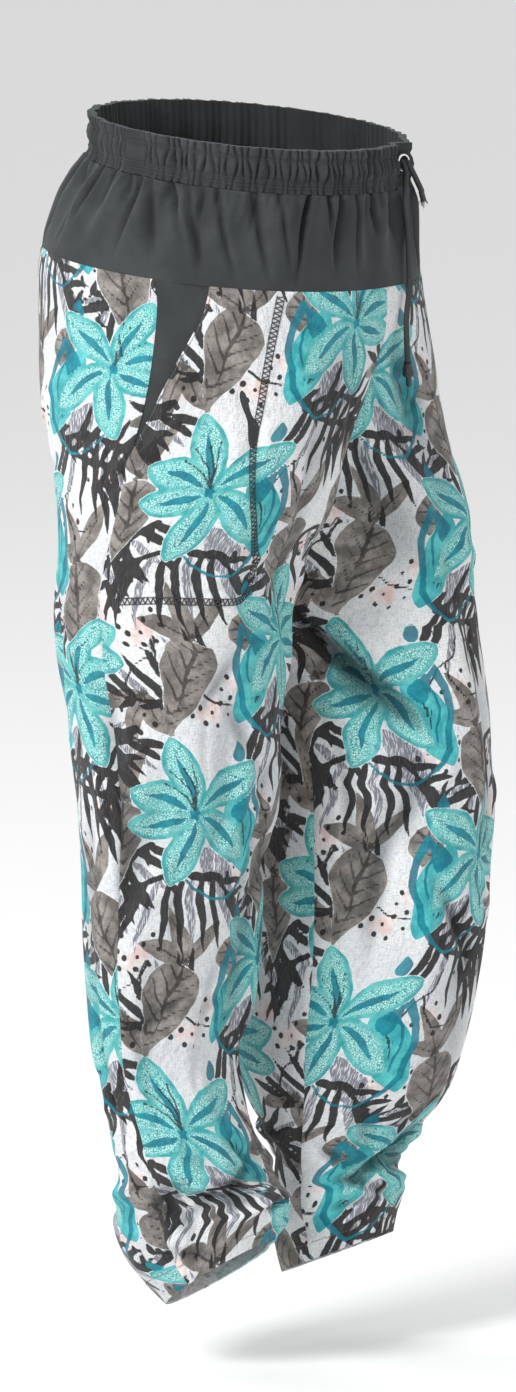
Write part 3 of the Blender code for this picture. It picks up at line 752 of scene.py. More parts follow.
# angle, length, half width, bend: degrees and millimetres
SLIM_A = ((120, 52, 8.5, 0.1), (68, 58, 9.5, -0.1), (165, 40, 6.5, 0.1))
SLIM_B = ((104, 50, 8.0, 0.1), (150, 46, 9.0, 0.12), (40, 46, 8.0, 0.1))
MOTIFS = (
    # place in the tile in mm, turn in degrees, mirror, kind, and what that kind needs:
    # a palm's reach, leaflets, drop and curl, a heart's size, or a flower's turn
    ((165, 259), -10, 1, "palm", (0.104, 11, 0.062, 0.022)),
    ((56, 128), -4, 1, "palm", (0.108, 12, 0.062, 0.026)),
    ((182, 137), 30, -1, "palm", (0.092, 10, 0.052, 0.018)),
    ((153, 1), 164, -1, "palm", (0.094, 10, 0.050, 0.018)),
    ((200, 252), 30, 1, "palm", (0.070, 8, 0.044, 0.014)),
    ((30, 40), 200, 1, "palm", (0.080, 8, 0.046, 0.014)),
    ((120, 100), 70, 1, "palm", (0.060, 7, 0.040, 0.012)),
    ((6, 150), 60, -1, "palm", (0.060, 7, 0.038, 0.012)),
    ((100, 128), 0, 1, "stem", STEM_A),
    ((28, 80), 0, 1, "stem", STEM_B),
    ((196, 128), 20, 1, "stem", STEM_A),
    ((120, 230), 40, 1, "stem", STEM_B),
    ((222, 40), 0, 1, "stem", STEM_A),
    ((106, 210), 0, 1, "stem", STEM_A),
    ((60, 30), 80, 1, "stem", STEM_B),
    ((112, 152), 0, 1, "berries", BERRIES_A),
    ((12, 14), 0, 1, "berries", BERRIES_B),
    ((196, 150), 0, 1, "berries", BERRIES_A),
    ((100, 40), 30, 1, "berries", BERRIES_B),
    ((18, 84), 30, 1, "berries", BERRIES_A),
    ((176, 246), 10, 1, "berries", BERRIES_B),
    ((70, 14), 0, 1, "berries", BERRIES_A),
    ((130, 208), 50, 1, "berries", BERRIES_B),
    ((216, 100), 50, 1, "berries", BERRIES_B),
    ((150, 178), 0, 1, "slim", SLIM_A),
    ((58, 78), 0, 1, "slim", SLIM_B),
    ((214, 218), 6, -1, "slim", SLIM_A),
    ((8, 30), 150, 1, "slim", SLIM_B),
    ((150, 176), 14, 1, "heart", (1.0,)),
    ((58, 74), -24, 1, "heart", (0.95,)),
    ((214, 214), 8, -1, "heart", (0.8,)),
    ((98, 92), 40, 1, "heart", (0.7,)),
    ((52, 206), 0, 1, "lily", ()),
    ((166, 68), 4, -1, "lily", (6.0,)),
)


def print_fields(flat):
    """Every ink's field over the cloth, from the tile's own list of motifs."""
    fields = {name: np.full(flat.shape[:-1], FAR) for inks in ATTRIBUTES.values() for name in inks}
    for place, turn, mirror, kind, extra in MOTIFS:
        x, y = local(flat, place, turn, mirror)
        for size, turns_y, start_y, turns_x, start_x in WOBBLES:
            x = x + size * np.sin(y * turns_y + start_y)
            y = y + size * np.sin(x * turns_x + start_x)
        DRAWN[kind](fields, x, y, *extra)
    return fields


print("motifs in a tile of", TILE, "m:", len(MOTIFS))

# %% [markdown]
# The printed cotton is painted in layers, as the printer lays its inks: pale marks first, then
# leaves, black fronds, buds, petals, and the dark strokes on top. Dye soaks in unevenly, so each
# ink varies a little, and the petals are stippled with small light scales. A fine weave bump and a
# little sheen make it cotton.

# %% Helpers for materials
THREAD_PITCH = 0.0009
THREAD_RISE = 0.00005
SLUB_RISE = 0.00022


def new_paint(name):
    """Empty material with its shader, and the two lists that hold its nodes and links."""
    paint = bpy.data.materials.new(name)
    paint.use_nodes = True
    tree = paint.node_tree
    return paint, tree.nodes, tree.links, tree.nodes["Principled BSDF"]


def maths(nodes, links, operation, a, b=None, c=None, clamp=False):
    """Math node on two or three values or sockets."""
    node = nodes.new("ShaderNodeMath")
    node.operation = operation
    node.use_clamp = clamp
    for socket, value in zip(node.inputs, (a, b, c)):
        if value is None:
            continue
        if isinstance(value, (int, float)):
            socket.default_value = value
        else:
            links.new(value, socket)
    return node.outputs[0]


def blend_colour(nodes, links, share, low, high):
    """Mix of two colours or sockets by a share."""
    node = nodes.new("ShaderNodeMix")
    node.data_type = "RGBA"
    if isinstance(share, float):
        node.inputs["Factor"].default_value = share
    else:
        links.new(share, node.inputs["Factor"])
    for socket, value in ((node.inputs[6], low), (node.inputs[7], high)):
        if isinstance(value, tuple):
            socket.default_value = (*value, 1.0)
        else:
            links.new(value, socket)
    return node.outputs[2]


def ramp(nodes, links, value, low, high):
    """0 below low, 1 above high, smooth between."""
    node = nodes.new("ShaderNodeMapRange")
    node.interpolation_type = "SMOOTHSTEP"
    node.inputs["From Min"].default_value = low
    node.inputs["From Max"].default_value = high
    links.new(value, node.inputs["Value"])
    return node.outputs["Result"]


def cloth_place(nodes, links, scale=(1.0, 1.0, 1.0), turn=0.0):
    """The cloth's own flat measure, scaled, in metres."""
    place = nodes.new("ShaderNodeUVMap")
    place.uv_map = "cloth"
    node = nodes.new("ShaderNodeMapping")
    node.inputs["Scale"].default_value = scale
    node.inputs["Rotation"].default_value = (0, 0, turn)
    links.new(place.outputs["UV"], node.inputs["Vector"])
    return node.outputs["Vector"]


def noise(nodes, links, vector, scale, detail=3.0, rough=0.55):
    """Noise from 0 to 1 at a scale in turns for each metre."""
    node = nodes.new("ShaderNodeTexNoise")
    node.inputs["Scale"].default_value = scale
    node.inputs["Detail"].default_value = detail
    node.inputs["Roughness"].default_value = rough
    links.new(vector, node.inputs["Vector"])
    return node.outputs["Fac"]


def weave_bump(nodes, links, shader, strength, crumple):
    """Bump of crossing threads with slubs, over fine creases in the cloth."""
    place = cloth_place(nodes, links)
    split = nodes.new("ShaderNodeSeparateXYZ")
    links.new(place, split.inputs[0])
    turns = 2 * math.pi / THREAD_PITCH
    warp = maths(nodes, links, "SINE", maths(nodes, links, "MULTIPLY", split.outputs[0], turns))
    weft = maths(nodes, links, "SINE", maths(nodes, links, "MULTIPLY", split.outputs[1], turns))
    threads = maths(nodes, links, "MULTIPLY", warp, weft)
    slub = noise(nodes, links, cloth_place(nodes, links, (60, 900, 1)), scale=1.0, detail=2.0)
    creases = noise(nodes, links, cloth_place(nodes, links, (70, 40, 1), 0.35), scale=1.0,
                    detail=5.0, rough=0.65)
    height = maths(nodes, links, "MULTIPLY_ADD", threads, THREAD_RISE,
                   maths(nodes, links, "MULTIPLY_ADD", slub, SLUB_RISE,
                         maths(nodes, links, "MULTIPLY", creases, crumple)))
    bump = nodes.new("ShaderNodeBump")
    bump.inputs["Strength"].default_value = strength
    bump.inputs["Distance"].default_value = 1.0
    links.new(height, bump.inputs["Height"])
    links.new(bump.outputs["Normal"], shader.inputs["Normal"])
    return slub


def shaded(nodes, links, colour, deep, most):
    """Colour with painted shade, multiplied towards a dark one in the bottom of a fold."""
    source = nodes.new("ShaderNodeAttribute")
    source.attribute_name = "painted_shade"
    node = nodes.new("ShaderNodeMix")
    node.data_type = "RGBA"
    node.blend_type = "MULTIPLY"
    links.new(maths(nodes, links, "MULTIPLY", source.outputs["Fac"], most), node.inputs["Factor"])
    links.new(colour, node.inputs[6])
    node.inputs[7].default_value = (*deep, 1.0)
    return node.outputs[2]


print("weave:", round(0.01 / THREAD_PITCH), "threads to the centimetre")

# %% [markdown]
# A crease keeps light out of its bottom. The shapes here are a few millimetres deep, and so soft
# that a wide lamp fills them. So that shade is painted in: each point of the cloth also carries a
# number, from 0 on a crest to 1 in a valley, worked out from the same creases, and the cloth's
# colour is multiplied by a dark one by that share. This painted shade is stored on the cloth, so it
# looks the same from any side.

# %% Printed cotton
WHITE_CLOTH = (0.71, 0.72, 0.725)
GREYED_CLOTH = (0.58, 0.60, 0.62)
FLECK = (0.33, 0.35, 0.37)
# Colour that the printed cloth is multiplied towards for the painted shade in its folds.
PRINT_PAINTED_SHADE = (0.16, 0.20, 0.22)
RAGGED = 0.0012
INK_SOFT = 0.00035
BLUSH_SOFT = 0.006
SCRATCHED_INKS = ("ghost", "frond")
FLAT_INKS = {
    # ink: its colour, the colour where the dye is thin, share of that, strength, softness of edge
    "blush": ((0.60, 0.40, 0.37), (0.80, 0.70, 0.68), 1.0, 0.75, BLUSH_SOFT),
    "ghost": ((0.13, 0.14, 0.17), (0.60, 0.60, 0.65), 1.0, 0.90, INK_SOFT),
    "leaf": ((0.105, 0.094, 0.084), (0.27, 0.245, 0.225), 1.0, 0.97, INK_SOFT),
    "vein": ((0.022, 0.020, 0.019), (0.060, 0.054, 0.050), 1.0, 0.85, INK_SOFT),
    "frond": ((0.012, 0.011, 0.012), (0.20, 0.19, 0.19), 0.09, 0.97, INK_SOFT),
    "bud": ((0.012, 0.30, 0.33), (0.080, 0.47, 0.47), 1.0, 0.97, INK_SOFT),
}
PETAL_RIM = ((0.028, 0.29, 0.30), (0.115, 0.45, 0.44))
PETAL_SCALES = ((0.022, 0.23, 0.25), (0.42, 0.71, 0.67))
PETAL_WASH = (0.12, 0.46, 0.44)
RIB_INK = ((0.000, 0.130, 0.185), (0.002, 0.22, 0.28))
STROKE_INK = (0.020, 0.024, 0.034)


def ink_fields(nodes, links):
    """Sockets of the inks' fields, three from each attribute."""
    fields = {}
    for attribute, names in ATTRIBUTES.items():
        source = nodes.new("ShaderNodeAttribute")
        source.attribute_name = attribute
        split = nodes.new("ShaderNodeSeparateXYZ")
        links.new(source.outputs["Vector"], split.inputs[0])
        fields.update(zip(names, split.outputs))
    return fields


def white_ground(nodes, links, place):
    """Uneven white cloth, with grey flecks where a thick thread crosses another."""
    shade = noise(nodes, links, place, scale=9.0)
    colour = blend_colour(nodes, links, ramp(nodes, links, shade, 0.35, 0.7), WHITE_CLOTH,
                          GREYED_CLOTH)
    flecks = noise(nodes, links, cloth_place(nodes, links, (160, 1500, 1)), 1.0, 2.0, 0.6)
    cross = noise(nodes, links, cloth_place(nodes, links, (1500, 160, 1)), 1.0, 2.0, 0.6)
    flecks = ramp(nodes, links, maths(nodes, links, "MULTIPLY", flecks, cross), 0.20, 0.36)
    return blend_colour(nodes, links, maths(nodes, links, "MULTIPLY", flecks, 0.6), colour, FLECK)


def petal_colour(nodes, links, place, field, wash):
    """Stippled middle inside a plain rim, both uneven with the wash."""
    scales = nodes.new("ShaderNodeTexVoronoi")
    scales.feature = "DISTANCE_TO_EDGE"
    scales.inputs["Scale"].default_value = 520.0
    links.new(place, scales.inputs["Vector"])
    stipple = ramp(nodes, links, scales.outputs["Distance"], 0.03, 0.16)
    middle = blend_colour(nodes, links, stipple, *PETAL_SCALES)
    middle = blend_colour(nodes, links, maths(nodes, links, "MULTIPLY", wash, 0.50), middle,
                          PETAL_WASH)
    rim = blend_colour(nodes, links, wash, *PETAL_RIM)
    return blend_colour(nodes, links, ramp(nodes, links, field, 0.0018, 0.0060), rim, middle)


def printed_cotton():
    """Inks laid over white cloth, then the shade of the folds, and the weave's bump."""
    paint, nodes, links, shader = new_paint("printed_cotton")
    place = cloth_place(nodes, links)
    ragged = noise(nodes, links, place, scale=420.0, detail=3.0, rough=0.7)
    ragged = maths(nodes, links, "MULTIPLY_ADD", ragged, RAGGED, -RAGGED / 2)
    wash = noise(nodes, links, place, scale=55.0, detail=5.0, rough=0.65)
    wash = ramp(nodes, links, wash, 0.38, 0.66)
    scratch = noise(nodes, links, cloth_place(nodes, links, (900, 120, 1), 0.7), 1.0, 2.0)
    scratch = ramp(nodes, links, scratch, 0.50, 0.62)
    fields = {name: maths(nodes, links, "ADD", field, ragged)
              for name, field in ink_fields(nodes, links).items()}
    colour = white_ground(nodes, links, place)

    def lay(name, ink, strength, soft=INK_SOFT):
        """The colour so far with one more ink on it, where the ink's field is above nothing."""
        share = maths(nodes, links, "MULTIPLY", ramp(nodes, links, fields[name], -soft, soft),
                      strength)
        return blend_colour(nodes, links, share, colour, ink)

    for name, (dark, pale, thin, strength, soft) in FLAT_INKS.items():
        mark = scratch if name in SCRATCHED_INKS else wash
        ink = blend_colour(nodes, links, maths(nodes, links, "MULTIPLY", mark, thin), dark, pale)
        colour = lay(name, ink, strength, soft)
    colour = lay("petal", petal_colour(nodes, links, place, fields["petal"], wash), 1.0)
    colour = lay("rib", blend_colour(nodes, links, wash, *RIB_INK), 0.92)
    colour = lay("stroke", STROKE_INK, 0.9)
    back = nodes.new("ShaderNodeAttribute")
    back.attribute_name = "inner"
    colour = blend_colour(nodes, links, maths(nodes, links, "MULTIPLY", back.outputs["Fac"], 0.6),
                          colour, WHITE_CLOTH)
    # Painted shade: the printed colour goes darker towards a dark grey in the bottom of each fold.
    links.new(shaded(nodes, links, colour, PRINT_PAINTED_SHADE, 0.72), shader.inputs["Base Color"])
    slub = weave_bump(nodes, links, shader, strength=0.80, crumple=0.0075)
    links.new(maths(nodes, links, "MULTIPLY_ADD", slub, 0.12, 0.76), shader.inputs["Roughness"])
    shader.inputs["Specular IOR Level"].default_value = 0.25
    shader.inputs["Sheen Weight"].default_value = 0.10
    shader.inputs["Sheen Roughness"].default_value = 0.5
    return paint


PRINT = printed_cotton()
print("printed cotton:", len(PRINT.node_tree.nodes), "nodes")

# %% [markdown]
# Black cotton isn't one black: it greys a little in patches and along its thick threads. Painted
# shade also darkens it in the bottom of its folds and gathers.

# %% Black cotton and the small finishes
# Colour that the black is multiplied towards for the painted shade in its folds.
BLACK_PAINTED_SHADE = (0.08, 0.08, 0.09)
RUBBED_BLACK = (0.100, 0.110, 0.114)


def black_cotton(name, dark, pale, crumple):
    """Black that greys in patches and along its thick threads, with the weave's bump."""
    paint, nodes, links, shader = new_paint(name)
    place = cloth_place(nodes, links)
    fade = ramp(nodes, links, noise(nodes, links, place, scale=14.0, detail=4.0), 0.35, 0.70)
    colour = blend_colour(nodes, links, fade, dark, pale)
    slub = weave_bump(nodes, links, shader, 0.6, crumple)
    colour = blend_colour(nodes, links, maths(nodes, links, "MULTIPLY", slub, 0.12), colour,
                          RUBBED_BLACK)
    # Painted shade: the black goes darker still in the bottom of each fold and gather.
    links.new(shaded(nodes, links, colour, BLACK_PAINTED_SHADE, 0.85), shader.inputs["Base Color"])
    shader.inputs["Roughness"].default_value = 0.82
    shader.inputs["Specular IOR Level"].default_value = 0.25
    shader.inputs["Sheen Weight"].default_value = 0.10
    shader.inputs["Sheen Roughness"].default_value = 0.45
    shader.inputs["Sheen Tint"].default_value = (0.78, 0.85, 0.87, 1)
    return paint


def plain_finish(name, dark, pale, scale, roughness, metallic=0.0, bump=0.0):
    """Colour that varies a little with a noise on Object coordinates, and a fine bump."""
    paint, nodes, links, shader = new_paint(name)
    place = nodes.new("ShaderNodeTexCoord")
    grain = noise(nodes, links, place.outputs["Object"], scale, detail=4.0)
    links.new(blend_colour(nodes, links, grain, dark, pale), shader.inputs["Base Color"])
    links.new(maths(nodes, links, "MULTIPLY_ADD", grain, 0.16, roughness - 0.08),
              shader.inputs["Roughness"])
    shader.inputs["Metallic"].default_value = metallic
    if bump:
        rise = nodes.new("ShaderNodeBump")
        rise.inputs["Strength"].default_value = 0.5
        rise.inputs["Distance"].default_value = bump
        links.new(grain, rise.inputs["Height"])
        links.new(rise.outputs["Normal"], shader.inputs["Normal"])
    return paint


YOKE_BLACK = black_cotton("yoke_cotton", dark=(0.020, 0.0225, 0.0235),
                          pale=(0.037, 0.0415, 0.0425), crumple=0.0014)
BAND_BLACK = black_cotton("band_cotton", dark=(0.018, 0.020, 0.021), pale=(0.034, 0.038, 0.039),
                          crumple=0.0008)
THREAD_BLACK = plain_finish("black_thread", dark=(0.020, 0.021, 0.023), pale=(0.055, 0.056, 0.060),
                            scale=3000.0, roughness=0.7)
THREAD_GREY = plain_finish("seam_thread", dark=(0.050, 0.050, 0.055), pale=(0.16, 0.16, 0.165),
                           scale=2500.0, roughness=0.7)
CORD_BLACK = plain_finish("braid", dark=(0.012, 0.013, 0.015), pale=(0.045, 0.048, 0.052),
                          scale=1800.0, roughness=0.75, bump=0.0002)
PLASTIC = plain_finish("stopper_plastic", dark=(0.012, 0.012, 0.013), pale=(0.026, 0.027, 0.029),
                       scale=600.0, roughness=0.42, bump=0.00005)
NICKEL = plain_finish("nickel", dark=(0.62, 0.62, 0.61), pale=(0.86, 0.86, 0.85), scale=900.0,
                      roughness=0.20, metallic=1.0)
print("materials so far:", len(bpy.data.materials))

# %% [markdown]
# The drawstring is a round braid. Its strands cross in two slants, so the tube's surface rises
# where a strand lies on top. The long end hangs to its cone stopper and moulded tip; the short end
# is cut and has frayed a little.

# %% Drawstring
CORD_RADIUS = 0.0024
CORD_STEP = 0.0075
SEAM_GAP = 0.0003
EYELET_SEAT = 0.0019
EXITS = {
    "long": ((-0.0026, 0.0014, 0.0012), (-0.0027, -0.0030, 0.0042), (-0.0027, -0.0090, 0.0056)),
    "short": ((0.0026, 0.0014, 0.0012), (0.0032, -0.0026, 0.0044)),
}
HANGS = {
    "long": ((80, -0.024, 0.0075), (80, -0.045, 0.0065), (80, -0.070, 0.0060),
             (81.5, -0.095, 0.0060), (89, -0.120, 0.0065), (95, -0.143, 0.0070),
             (98, -0.163, 0.0075)),
    "short": ((65, -0.0195, 0.0070), (61, -0.0245, 0.0085), (58, -0.0310, 0.0105)),
}
BRAID_STRANDS = 8
BRAID_PITCH = 0.0145
BRAID_RISE = 0.00035
BRAID_STEP = 0.00045
BRAID_VALLEY = 0.75
BRAID_SINK = 0.0001
CORD_AROUND = 32
SIDE_HINT = (0.31, 0.9, 0.2)
TURNED_HINT = (0.3, 0.9, 0.2)


def eyelet_frame():
    """Centre of the eyelet's seat and its three directions: across, up and out of the band."""
    psi = np.array(math.pi / 2 - EYELET_TURN)
    height = np.array(EYELET_HEIGHT)
    out = Vector(normals(1, lambda angle, z: surface(1, angle, z), psi, height))
    across = Vector((0, 0, 1)).cross(out).normalized()
    return Vector(surface(1, psi, height)) + out * EYELET_SEAT, across, out.cross(across), out


def cord_route(end):
    """The route's own points, from inside the eyelet to the free end."""
    centre, across, up, out = eyelet_frame()
    start = [centre + across * aside + up * rise + out * away for aside, rise, away in EXITS[end]]
    hang = [Vector(surface(1, math.radians(angle), np.array(z), away))
            for angle, z, away in HANGS[end]]
    return start + hang


def smooth_curve(route, step):
    """Points at even steps along a Catmull-Rom curve through the route."""
    p = np.array([2 * route[0] - route[1]] + route + [2 * route[-1] - route[-2]])
    fine = []
    for i in range(len(route) - 1):
        t = np.linspace(0, 1, 24, endpoint=False)[:, None]
        a, b, c, d = p[i:i + 4]
        fine.append(0.5 * (2 * b + (c - a) * t + (2 * a - 5 * b + 4 * c - d) * t ** 2
                           + (3 * b - 3 * c + d - a) * t ** 3))
    fine = np.concatenate(fine + [p[-2:-1]])
    run = np.concatenate([[0], np.cumsum(np.linalg.norm(np.diff(fine, axis=0), axis=1))])
    places = np.linspace(0, run[-1], round(run[-1] / step) + 1)
    return np.stack([np.interp(places, run, fine[:, i]) for i in range(3)], axis=1)


def path_frames(points):
    """Unit directions along a path and two across it that don't spin round it."""
    along = np.gradient(points, axis=0)
    along /= np.linalg.norm(along, axis=1, keepdims=True)
    side = np.cross(along, np.array(SIDE_HINT))
    side /= np.linalg.norm(side, axis=1, keepdims=True)
    return along, side, np.cross(along, side)


def closed_tube(points, radius):
    """Points and faces of a tube: at each path point a circle across it, of radius[i, j]."""
    count = radius.shape[1]
    theta = np.arange(count) * 2 * math.pi / count
    _, side, up = path_frames(points)
    spokes = (side[:, None] * np.cos(theta)[None, :, None]
              + up[:, None] * np.sin(theta)[None, :, None])
    grid = points[:, None] + radius[..., None] * spokes
    body = quads(len(points), count, wrap=True)
    ends = np.stack([np.arange(count), np.arange(count)[::-1] + (len(points) - 1) * count])
    return grid.reshape(-1, 3), body[:, ::-1], ends[:, ::-1]


def braided_cord(end):
    """Tube whose radius rises where either of two sets of slanted strands, both cosines, is up."""
    path = smooth_curve(cord_route(end), BRAID_STEP)
    run = np.arange(len(path)) * BRAID_STEP
    theta = np.arange(CORD_AROUND) * 2 * math.pi / CORD_AROUND
    turn = run[:, None] * 2 * math.pi / BRAID_PITCH
    one = np.cos(BRAID_STRANDS / 2 * (theta[None] + turn))
    two = np.cos(BRAID_STRANDS / 2 * (theta[None] - turn))
    rise = np.maximum(np.abs(one), np.abs(two)) - BRAID_VALLEY
    points, body, ends = closed_tube(path, CORD_RADIUS - BRAID_SINK + BRAID_RISE * rise)
    piece = link(f"cord_{end}_end", make_mesh(f"cord_{end}_end", points, (body, ends)),
                 CORD_BLACK, "cord")
    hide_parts(f"drawstring_{end}")


def lathe(name, profile, start, axis, around=48, paint=PLASTIC, slot="black_plastic"):
    """Closed profile of (radius, height) turned round an axis from start."""
    profile = np.array(profile)
    theta = np.arange(around) * 2 * math.pi / around
    axis = axis.normalized()
    side = axis.cross(Vector(TURNED_HINT)).normalized()
    up = axis.cross(side)
    round_way = (np.array(side)[None] * np.cos(theta)[:, None]
                 + np.array(up)[None] * np.sin(theta)[:, None])
    grid = (np.array(start) + profile[:, None, :1] * round_way[None]
            + profile[:, None, 1:] * np.array(axis))
    points = grid.reshape(-1, 3)
    count = len(profile)
    faces = quads(count, around, wrap=True)
    first = np.arange(around)
    last = first + (count - 1) * around
    closing = np.stack([last, first, np.roll(first, -1), np.roll(last, -1)], -1)
    mesh = make_mesh(name, points, (np.concatenate([faces, closing]),), sharp=40.0)
    return link(name, outward(mesh), paint, slot)


def rounded(points, bead=0.0004, steps=3):
    """Profile with each corner cut back a little and rounded."""
    points = np.array(points, float)
    out = []
    for i, corner in enumerate(points):
        before, after = points[i - 1] - corner, points[(i + 1) % len(points)] - corner
        reach_before = min(bead, np.linalg.norm(before) * 0.45)
        reach_after = min(bead, np.linalg.norm(after) * 0.45)
        a = corner + before / np.linalg.norm(before) * reach_before
        b = corner + after / np.linalg.norm(after) * reach_after
        for t in np.linspace(0, 1, steps):
            out.append((1 - t) ** 2 * a + 2 * t * (1 - t) * corner + t * t * b)
    return out


coarse_long = smooth_curve(cord_route("long"), CORD_STEP)
cord_end = Vector(coarse_long[-1])
cord_down = Vector(coarse_long[-1] - coarse_long[-3]).normalized()
stopper = lathe("cone_stopper", rounded((
    (0.0010, 0.0), (0.0031, 0.0), (0.0036, 0.0012), (0.0034, 0.0022), (0.0046, 0.0102),
    (0.0049, 0.0108), (0.0049, 0.0127), (0.0042, 0.0130), (0.0010, 0.0130))),
    cord_end + cord_down * SEAM_GAP, cord_down)
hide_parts("cord_stopper")
tip_start = cord_end + cord_down * (2 * SEAM_GAP + 0.013)
tip = lathe("cord_tip_cap", rounded((
    (0.0006, 0.0), (0.0025, 0.0), (0.0027, 0.0008), (0.0024, 0.0016), (0.0024, 0.0092),
    (0.0021, 0.0106), (0.0008, 0.0110))), tip_start, cord_down)
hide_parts("cord_tip")
braided_cord("long")

# %% [markdown]
# A cut braid opens at its end, so a few dozen thin threads stand out of it, each bent its own way.

# %% Frayed end
FRAY_THREADS = 34
FRAY_LENGTH = 0.0075
FRAY_RADIUS = 0.00020
FRAY_SIDES = 4
FRAY_FILL = 0.9
FRAY_SEED = 5


def tubes(name, paths, radius, sides, paint, slot):
    """One mesh of thin closed tubes, one for each path of equal point count."""
    points, bodies, caps, base = [], [], [], 0
    for path in paths:
        p, body, ends = closed_tube(np.asarray(path), np.full((len(path), sides), radius))
        points.append(p)
        bodies.append(body + base)
        caps.append(ends + base)
        base += len(p)
    mesh = make_mesh(name, np.concatenate(points), (np.concatenate(bodies), np.concatenate(caps)))
    return link(name, mesh, paint, slot)


def frayed(end, way, seed):
    """Threads from a ring inside the cord's end, spreading and drooping."""
    rng = np.random.default_rng(seed)
    _, side, up = path_frames(np.stack([end - way, end]))
    side, up = side[0], up[0]
    paths = []
    for _ in range(FRAY_THREADS):
        a = rng.uniform(0, 2 * math.pi)
        r = CORD_RADIUS * FRAY_FILL * math.sqrt(rng.uniform(0, 1))
        out = side * math.cos(a) + up * math.sin(a)
        t = np.linspace(0, 1, 6)[:, None]
        spread = rng.uniform(0.0008, 0.0030) * (r / CORD_RADIUS)
        long = FRAY_LENGTH * rng.uniform(0.35, 1.0)
        droop = np.array([0, 0, -1]) * rng.uniform(0.0, 0.0025)
        paths.append(end - way * 0.001 + out * r + way * long * t
                     + (out * spread + droop) * t ** 2)
    return paths


short_path = smooth_curve(cord_route("short"), BRAID_STEP)
short_way = short_path[-1] - short_path[-9]
short_way = short_way / np.linalg.norm(short_way)
threads = frayed(short_path[-1], short_way, FRAY_SEED)
fray = tubes("cord_fray", threads, FRAY_RADIUS, FRAY_SIDES, CORD_BLACK, "cord")
braided_cord("short")
print("frayed threads", len(threads))

# %% [markdown]
# The eyelet is a pressed ring with a rolled lip. It is turned from its section, smoother than the
# model's own ring.

# %% Eyelet
seat, _, _, out_band = eyelet_frame()
ring_piece = lathe("eyelet_ring", rounded((
    (0.00515, 0.0002), (0.00520, 0.0009), (0.00575, 0.0015), (0.00650, 0.0017), (0.00715, 0.0012),
    (0.00750, 0.0003), (0.00740, 0.0000), (0.00530, 0.0000)), bead=0.0003),
    seat, out_band, around=64, paint=NICKEL, slot="metal")
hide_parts("eyelet")
print("eyelet at", [round(v, 4) for v in seat])

# %% [markdown]
# Each leg has a front and a back panel, cut apart at the side seam, the inside leg and the middle.
# Where two panels are sewn, the edge rolls in, so the surface dips within two millimetres of a
# seam. The model's panels lie a hair apart. Here their edges lap, and a little more in the middle,
# where the rolled edges turn away from each other, so that no light shows through. The front
# panel's side edge slants forward above the hip: that is the pocket's mouth, which stands open.

# %% Leg panels
MOUTH_ANGLE = math.radians(17)
MOUTH_FLARE = {1: 0.020, -1: 0.013}
FLARE_REACH = 0.030
BAG_ANGLES = math.radians(50), math.radians(64)
BAG_INSET = CLOTH + 0.0010
FINE = 1.0
# Painted shade in the panels' folds: the depth that gives full shade, and the share of it before any.
LEG_SHADE_DEPTH = 0.0080
LEG_SHADE_START = 0.15
THIGH_RADIUS = 0.13
MOUTH_RADIUS = 0.15
WALL = 0.0021
SEAM_DIP = 0.0007
SEAM_REACH = 0.0018
PRINT_SHIFT = {("front", -1): (0.098, 0.094), ("back", -1): (0.030, 0.150),
               ("front", 1): (0.190, 0.006), ("back", 1): (0.130, 0.210)}
MIDDLE_SHARE = 0.42
MIDDLE_LAP = 0.0009


def clip_angle(z):
    """Angle at which the front of a leg's section meets the middle plane, or the inner leg."""
    centre, half = half_widths(z)
    share = np.clip((centre + MIDDLE_LAP) / half, -1, 1)
    return np.arccos(-signed_power(share, level("power", z) / 2))


def side_seam(z):
    """Angle of the side seam at height z."""
    return np.radians(level("seam", z))


def lap_angle(z):
    """A seam's lap as an angle at the side."""
    return SEAM_LAP / level("ry_right", z)


def mouth_share(z):
    """0 at the pocket mouth's lower end and below, 1 at the yoke."""
    return np.clip((z - MOUTH_LOW) / (YOKE_LOW - MOUTH_LOW), 0, 1)


def front_edge(z):
    """Side edge of the front panel: the side seam, then the slanted pocket mouth."""
    return side_seam(z) - lap_angle(z) + MOUTH_ANGLE * mouth_share(z)


def mouth_lift(side, psi, z):
    """How far the front panel stands open along the pocket mouth."""
    share = mouth_share(z)
    open_share = (4 * share * (1 - share)) ** 1.5
    away = np.clip(psi - front_edge(z), 0, None) * MOUTH_RADIUS / FLARE_REACH
    return MOUTH_FLARE[side] * open_share * np.exp(-away ** 2)


def seam_dip(psi, edges):
    """Dip of the surface near each of the panel's side edges."""
    dip = 0
    for edge in edges:
        dip = dip + np.exp(-((psi - edge[:, None]) * THIGH_RADIUS / SEAM_REACH) ** 2)
    return -SEAM_DIP * dip


